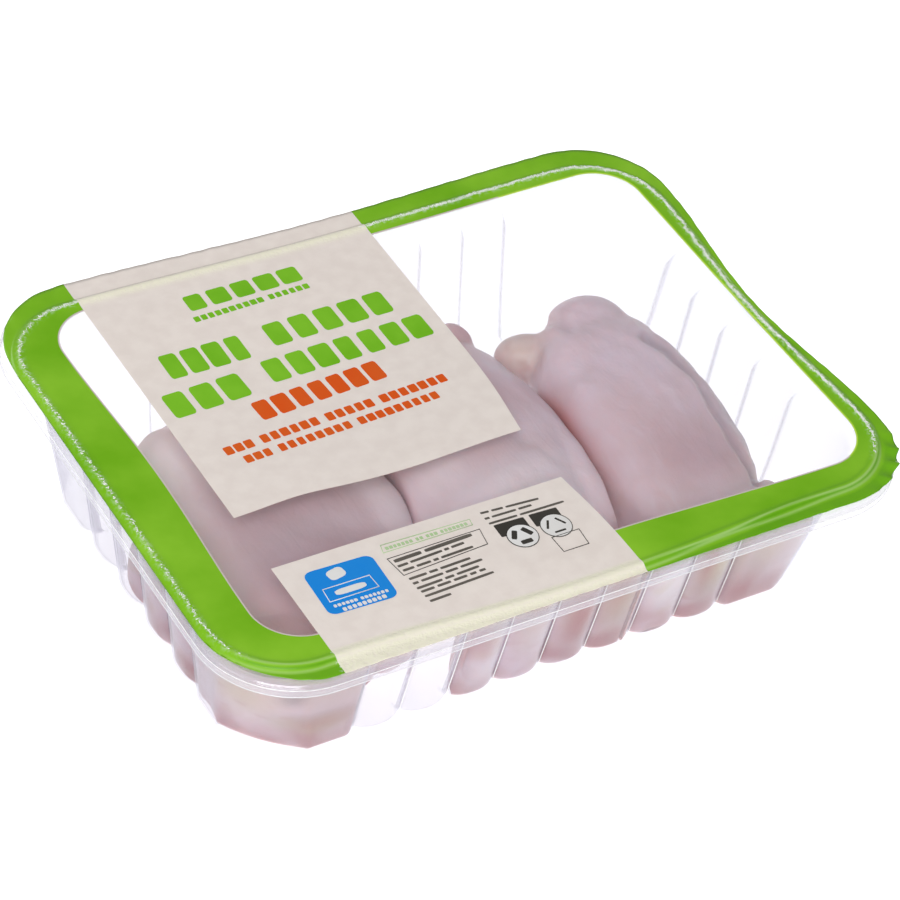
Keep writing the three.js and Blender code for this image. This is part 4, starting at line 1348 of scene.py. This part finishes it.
def press_into_tray(points):
    """Pushes points inside the ribbed walls, above the floor and under the film."""
    points[:, 2] = np.clip(points[:, 2], SHEET + CLEARANCE, HELD_DOWN)
    near_floor = np.clip(MEAT_EDGE - points[:, 2], 0, MEAT_EDGE)
    rounding = MEAT_EDGE - np.sqrt(MEAT_EDGE ** 2 - near_floor ** 2)
    up = np.clip((points[:, 2] - EDGE) / (WALL_TOP - EDGE), 0, 1)
    inset = WALL_INSET[0] + (WALL_INSET[1] - WALL_INSET[0]) * up
    half = np.array(SEAL["size"]) / 2 - inset[:, None] - (SHEET + CLEARANCE + rounding)[:, None]
    radius = CORNER_RADIUS[0] + (CORNER_RADIUS[1] - CORNER_RADIUS[0]) * up - SHEET - CLEARANCE - rounding
    centre = np.array(SEAL["centre"])
    local = points[:, :2] - centre
    inner = half - radius[:, None]
    over = np.maximum(np.abs(local) - inner, 0)
    distance = np.hypot(over[:, 0], over[:, 1])
    in_corner = (over[:, 0] > 0) & (over[:, 1] > 0)
    cut = (local[:, 0] < 0) & (local[:, 1] < 0)
    flatness = np.where(cut, CUT_CORNER * (1 - up), 1)
    reach = radius * (1 + flatness * (flat_corner(np.arctan2(over[:, 1], over[:, 0]), cut) - 1))
    scale = np.where(in_corner, np.minimum(1, reach / np.maximum(distance, 1e-6)), 1)
    cornered = np.sign(local) * (np.minimum(np.abs(local), inner) + over * scale[:, None])
    fill = rib_fill(points)
    for axis, sides in ((0, (3, 1)), (1, (0, 2))):
        along = local[:, 1 - axis]
        for sign, side in zip((-1, 1), sides):
            straight = np.maximum(inner[:, 1 - axis], 1)
            share = np.clip(along / straight, -1, 1)
            bow = SEAL["bow"][side] * WALL_BOW[side] * up * np.cos(np.pi / 2 * share) ** 2
            walk_along = along * (STEPS[side][1 - axis])
            notch = np.maximum(notch_depth(walk_along, side), 1 - fill)
            rib_count, pitch = RIBS[side]
            in_ribs = np.abs(walk_along - RIB_SHIFT[side]) < (rib_count / 2 + NOTCH_HALF_WIDTH) * pitch
            limit = half[:, axis] + bow - rib_depth(points[:, 2]) * np.where(in_ribs, notch, 0)
            if side == 0:
                limit = limit - FRONT_GAP * np.exp(-((along - GAP_MIDDLE) / GAP_REACH) ** 12)
            beyond = sign * cornered[:, axis] > limit
            cornered[:, axis] = np.where(beyond & ~in_corner, sign * limit, cornered[:, axis])
    points[:, :2] = centre + cornered
    return points


# %% [markdown]
# ## Raw skin
#
# Chicken skin is thin, wet and half see-through, over pale pink flesh. It shows pale mauve and cream, redder
# where flesh is pressed against it and in the creases, and yellowish over fat. Dusky patches, the darker deep
# folds and a darker band against the front wall are painted shade, and some pale patches are painted light.
# The light goes a few millimetres in, so the shader scatters below the surface, and a thin wet coat gives soft
# highlights.

# %% Material: wet raw chicken skin
def raw_skin_finish():
    """Wet skin. Four attributes say where flesh, fat, thin pale skin with painted light, and painted shade
    show.
    """
    material, tree = new_material("wet_raw_chicken_skin")
    place = add_node(tree, "ShaderNodeTexCoord").outputs["Object"]
    drawn_out = add_node(tree, "ShaderNodeMapping", {"Vector": place, "Scale": (1.0, 0.22, 0.5)})

    def noise(vector, size, **inputs):
        return add_node(tree, "ShaderNodeTexNoise", {
            "Vector": vector, "Scale": 1 / (size * MM), **inputs}).outputs["Fac"]

    broad = noise(place, 28, Detail=3.0)
    middle = noise(place, 9, Detail=4.0, Distortion=0.6)
    pores = noise(place, 1.6, Detail=2.0)
    wrinkles = noise(drawn_out.outputs[0], 4.6, Detail=3.0, Distortion=1.6)
    spread = add_node(tree, "ShaderNodeMapRange", {"Value": broad, "From Min": 0.35, "From Max": 0.65})
    skin = blend_colours(tree, spread.outputs[0], linear("e4cfd7"), linear("dfc3c6"))
    patches = add_node(tree, "ShaderNodeMapRange", {
        "Value": middle, "From Min": 0.5, "From Max": 0.8, "To Min": 0.0, "To Max": 0.3})
    skin = blend_colours(tree, patches.outputs[0], skin, linear("d0b4ae"))
    streaks = add_node(tree, "ShaderNodeMapRange", {
        "Value": wrinkles, "From Min": 0.52, "From Max": 0.74, "To Min": 0.0, "To Max": 0.22})
    skin = blend_colours(tree, streaks.outputs[0], skin, linear("eee2e8"))
    # The pale tone is partly thin skin and partly painted light, and the dusky tone is painted shade
    for shows, tone in (("pale", "f6eeee"), ("shade", "93828c"), ("fat", "cfbd98"), ("flesh", "ab564f")):
        share = add_node(tree, "ShaderNodeAttribute", attribute_name=shows)
        skin = blend_colours(tree, share.outputs["Fac"], skin, linear(tone))
    relief = add_node(tree, "ShaderNodeMath", {0: wrinkles, 1: 1.4, 2: pores}, operation="MULTIPLY_ADD")
    bump = add_node(tree, "ShaderNodeBump", {
        "Height": relief.outputs[0], "Strength": 0.3, "Distance": 0.4 * MM})
    shader = add_node(tree, "ShaderNodeBsdfPrincipled", {
        "Base Color": skin, "Roughness": 0.42, "IOR": 1.4, "Subsurface Weight": 0.35,
        "Subsurface Radius": (1.0, 0.45, 0.35), "Subsurface Scale": 3.5 * MM, "Normal": bump.outputs[0],
        "Coat Weight": 0.08, "Coat Roughness": 0.2})
    finish_material(tree, shader)
    return material


raw_skin = raw_skin_finish()

# %% Build the thighs
VOXEL = 1.0 * MM
SOFTENING, SOFTENINGS = 0.6, 12


def fused(name, parts):
    """Closed lumps fused to one skin by a voxel remesh, and softened."""
    vertices, faces = [], []
    for points, around, rings in parts:
        start = sum(len(v) for v in vertices)
        faces += [tuple(start + i for i in face) for face in skin_faces(rings, around)]
        vertices.append(points)
    lump = new_piece(name, np.concatenate(vertices), faces, [raw_skin])
    remesh = lump.modifiers.new("remesh", "REMESH")
    remesh.mode = "VOXEL"
    remesh.voxel_size = VOXEL
    soften = lump.modifiers.new("soften", "SMOOTH")
    soften.factor = SOFTENING
    soften.iterations = SOFTENINGS
    bpy.context.view_layer.update()
    depsgraph = bpy.context.evaluated_depsgraph_get()
    made = bpy.data.meshes.new_from_object(lump.evaluated_get(depsgraph), depsgraph=depsgraph)
    lump.modifiers.clear()
    lump.data = made
    made.polygons.foreach_set("use_smooth", [True] * len(made.polygons))
    return lump


# The way to the photo's camera. A fold is drawn as the photo shows it, so depth along it counts little
VIEW = np.array((-0.435, -0.603, 0.669))
DEPTH_LEFT_OUT = 0.8


def path_distance(points, path):
    """Distance of each point from a line of straight pieces, with little weight on the depth in the photo."""
    flatten = np.eye(3) - DEPTH_LEFT_OUT * np.outer(VIEW, VIEW)
    points, path = points @ flatten, np.array(path, float) @ flatten
    nearest = np.full(len(points), 1e9)
    for start, end in zip(path[:-1], path[1:]):
        span = end - start
        share = np.clip((points - start) @ span / (span @ span), 0, 1)
        nearest = np.minimum(nearest, np.linalg.norm(points - start - share[:, None] * span, axis=1))
    return nearest


def patches(points, spots):
    """The strongest of several soft patches at each point."""
    shares = [strength * np.exp(-np.linalg.norm((points - place) / reach, axis=1) ** 2)
              for place, reach, strength in spots]
    return np.maximum.reduce(shares) if shares else np.zeros(len(points))


def skin_tones(points, name):
    """How much flesh, fat, thin pale skin with painted light, and painted shade show at each point."""
    x, y, z = points.T
    # Pale skin, partly painted light
    pale = patches(points, PALE_SKIN_AND_PAINTED_LIGHT[name])
    at_wall = 1 - smooth_step(-75, -69, y)
    pressed = at_wall * (1 - 0.8 * pale)

    near_crease = np.minimum(np.abs(x - left_crease(y)), np.abs(x - right_crease(y)))
    low = smooth_step(17, 5, z) * np.clip(0.7 + 0.5 * waviness(points, 13.0, 31), 0, 1)
    streaks = np.clip(0.5 * waviness(points * (1, 1, 2.2), 9.0, 33) - 0.1, 0, 1) * smooth_step(40, 30, z)
    past = np.maximum(x - right_crease(y) - 0.8, 0)
    in_crease = np.exp(-past / 3.2) * smooth_step(24, 31, z) * (1 - smooth_step(2, 18, y))
    in_crease = in_crease * (name == "thigh_right")
    flesh = np.maximum.reduce([0.4 * np.exp(-near_crease / 1.8), 0.6 * low, 0.4 * streaks * (1 - at_wall),
                               0.95 * in_crease, patches(points, FLESH[name])])
    flesh = flesh * (1 - 0.9 * pale)

    # Painted shade along the deep folds, and over the meat against the front wall
    groove_shade = [0.4 * (-height - 1) * np.exp(-(path_distance(points, path) / width) ** 2)
               for path, width, height in FOLDS[name] if height < -1]
    shade = np.maximum.reduce([patches(points, SHADE[name]), 0.4 * pressed] + groove_shade)
    blobs = 0.3 * np.clip(waviness(points, 11.0, 35) - 0.6, 0, 1) * smooth_step(36, 26, z)
    fat = np.maximum.reduce([patches(points, FAT[name]), blobs, 0.35 * pressed])
    return {label: np.clip(share, 0, 1)
            for label, share in (("flesh", flesh), ("fat", fat), ("pale", pale), ("shade", shade))}


# Height of the skin's swells and small lumps, and of the crumples along a deep fold
SWELLS, SMALL_LUMPS, CRUMPLES = 0.4, 0.05, 0.3
DEEP_FOLD, CRUMPLE_REACH = -2, 4


def build_thigh(name):
    """One thigh: fused, folded, roughened a little, and pressed into its place."""
    parts = [thigh_points(THIGHS[name])] + [lump_points(*lump) for lump in LUMPS[name]]
    thigh = fused(name + "_skin", parts)
    points = np.array([v.co for v in thigh.data.vertices]) / MM
    normals = np.array([v.normal for v in thigh.data.vertices])
    lift = SWELLS * waviness(points, 21.0, 21) + SMALL_LUMPS * waviness(points, 6.0, 22)
    for path, width, height in FOLDS[name]:
        distance = path_distance(points, path)
        lift += height * np.exp(-(distance / width) ** 2)
        if height < DEEP_FOLD:
            lift += CRUMPLES * waviness(points, 8.0, 23) * np.exp(-(distance / CRUMPLE_REACH) ** 2)
    points = press_between(press_into_tray(points + normals * lift[:, None]), name)
    thigh.data.vertices.foreach_set("co", (points * MM).ravel())
    thigh.data.update()
    for label, share in skin_tones(points, name).items():
        set_attribute(thigh, label, share)
    dress(thigh, name, slot="raw_skin")
    measure(thigh)


for name in THIGHS:
    build_thigh(name)
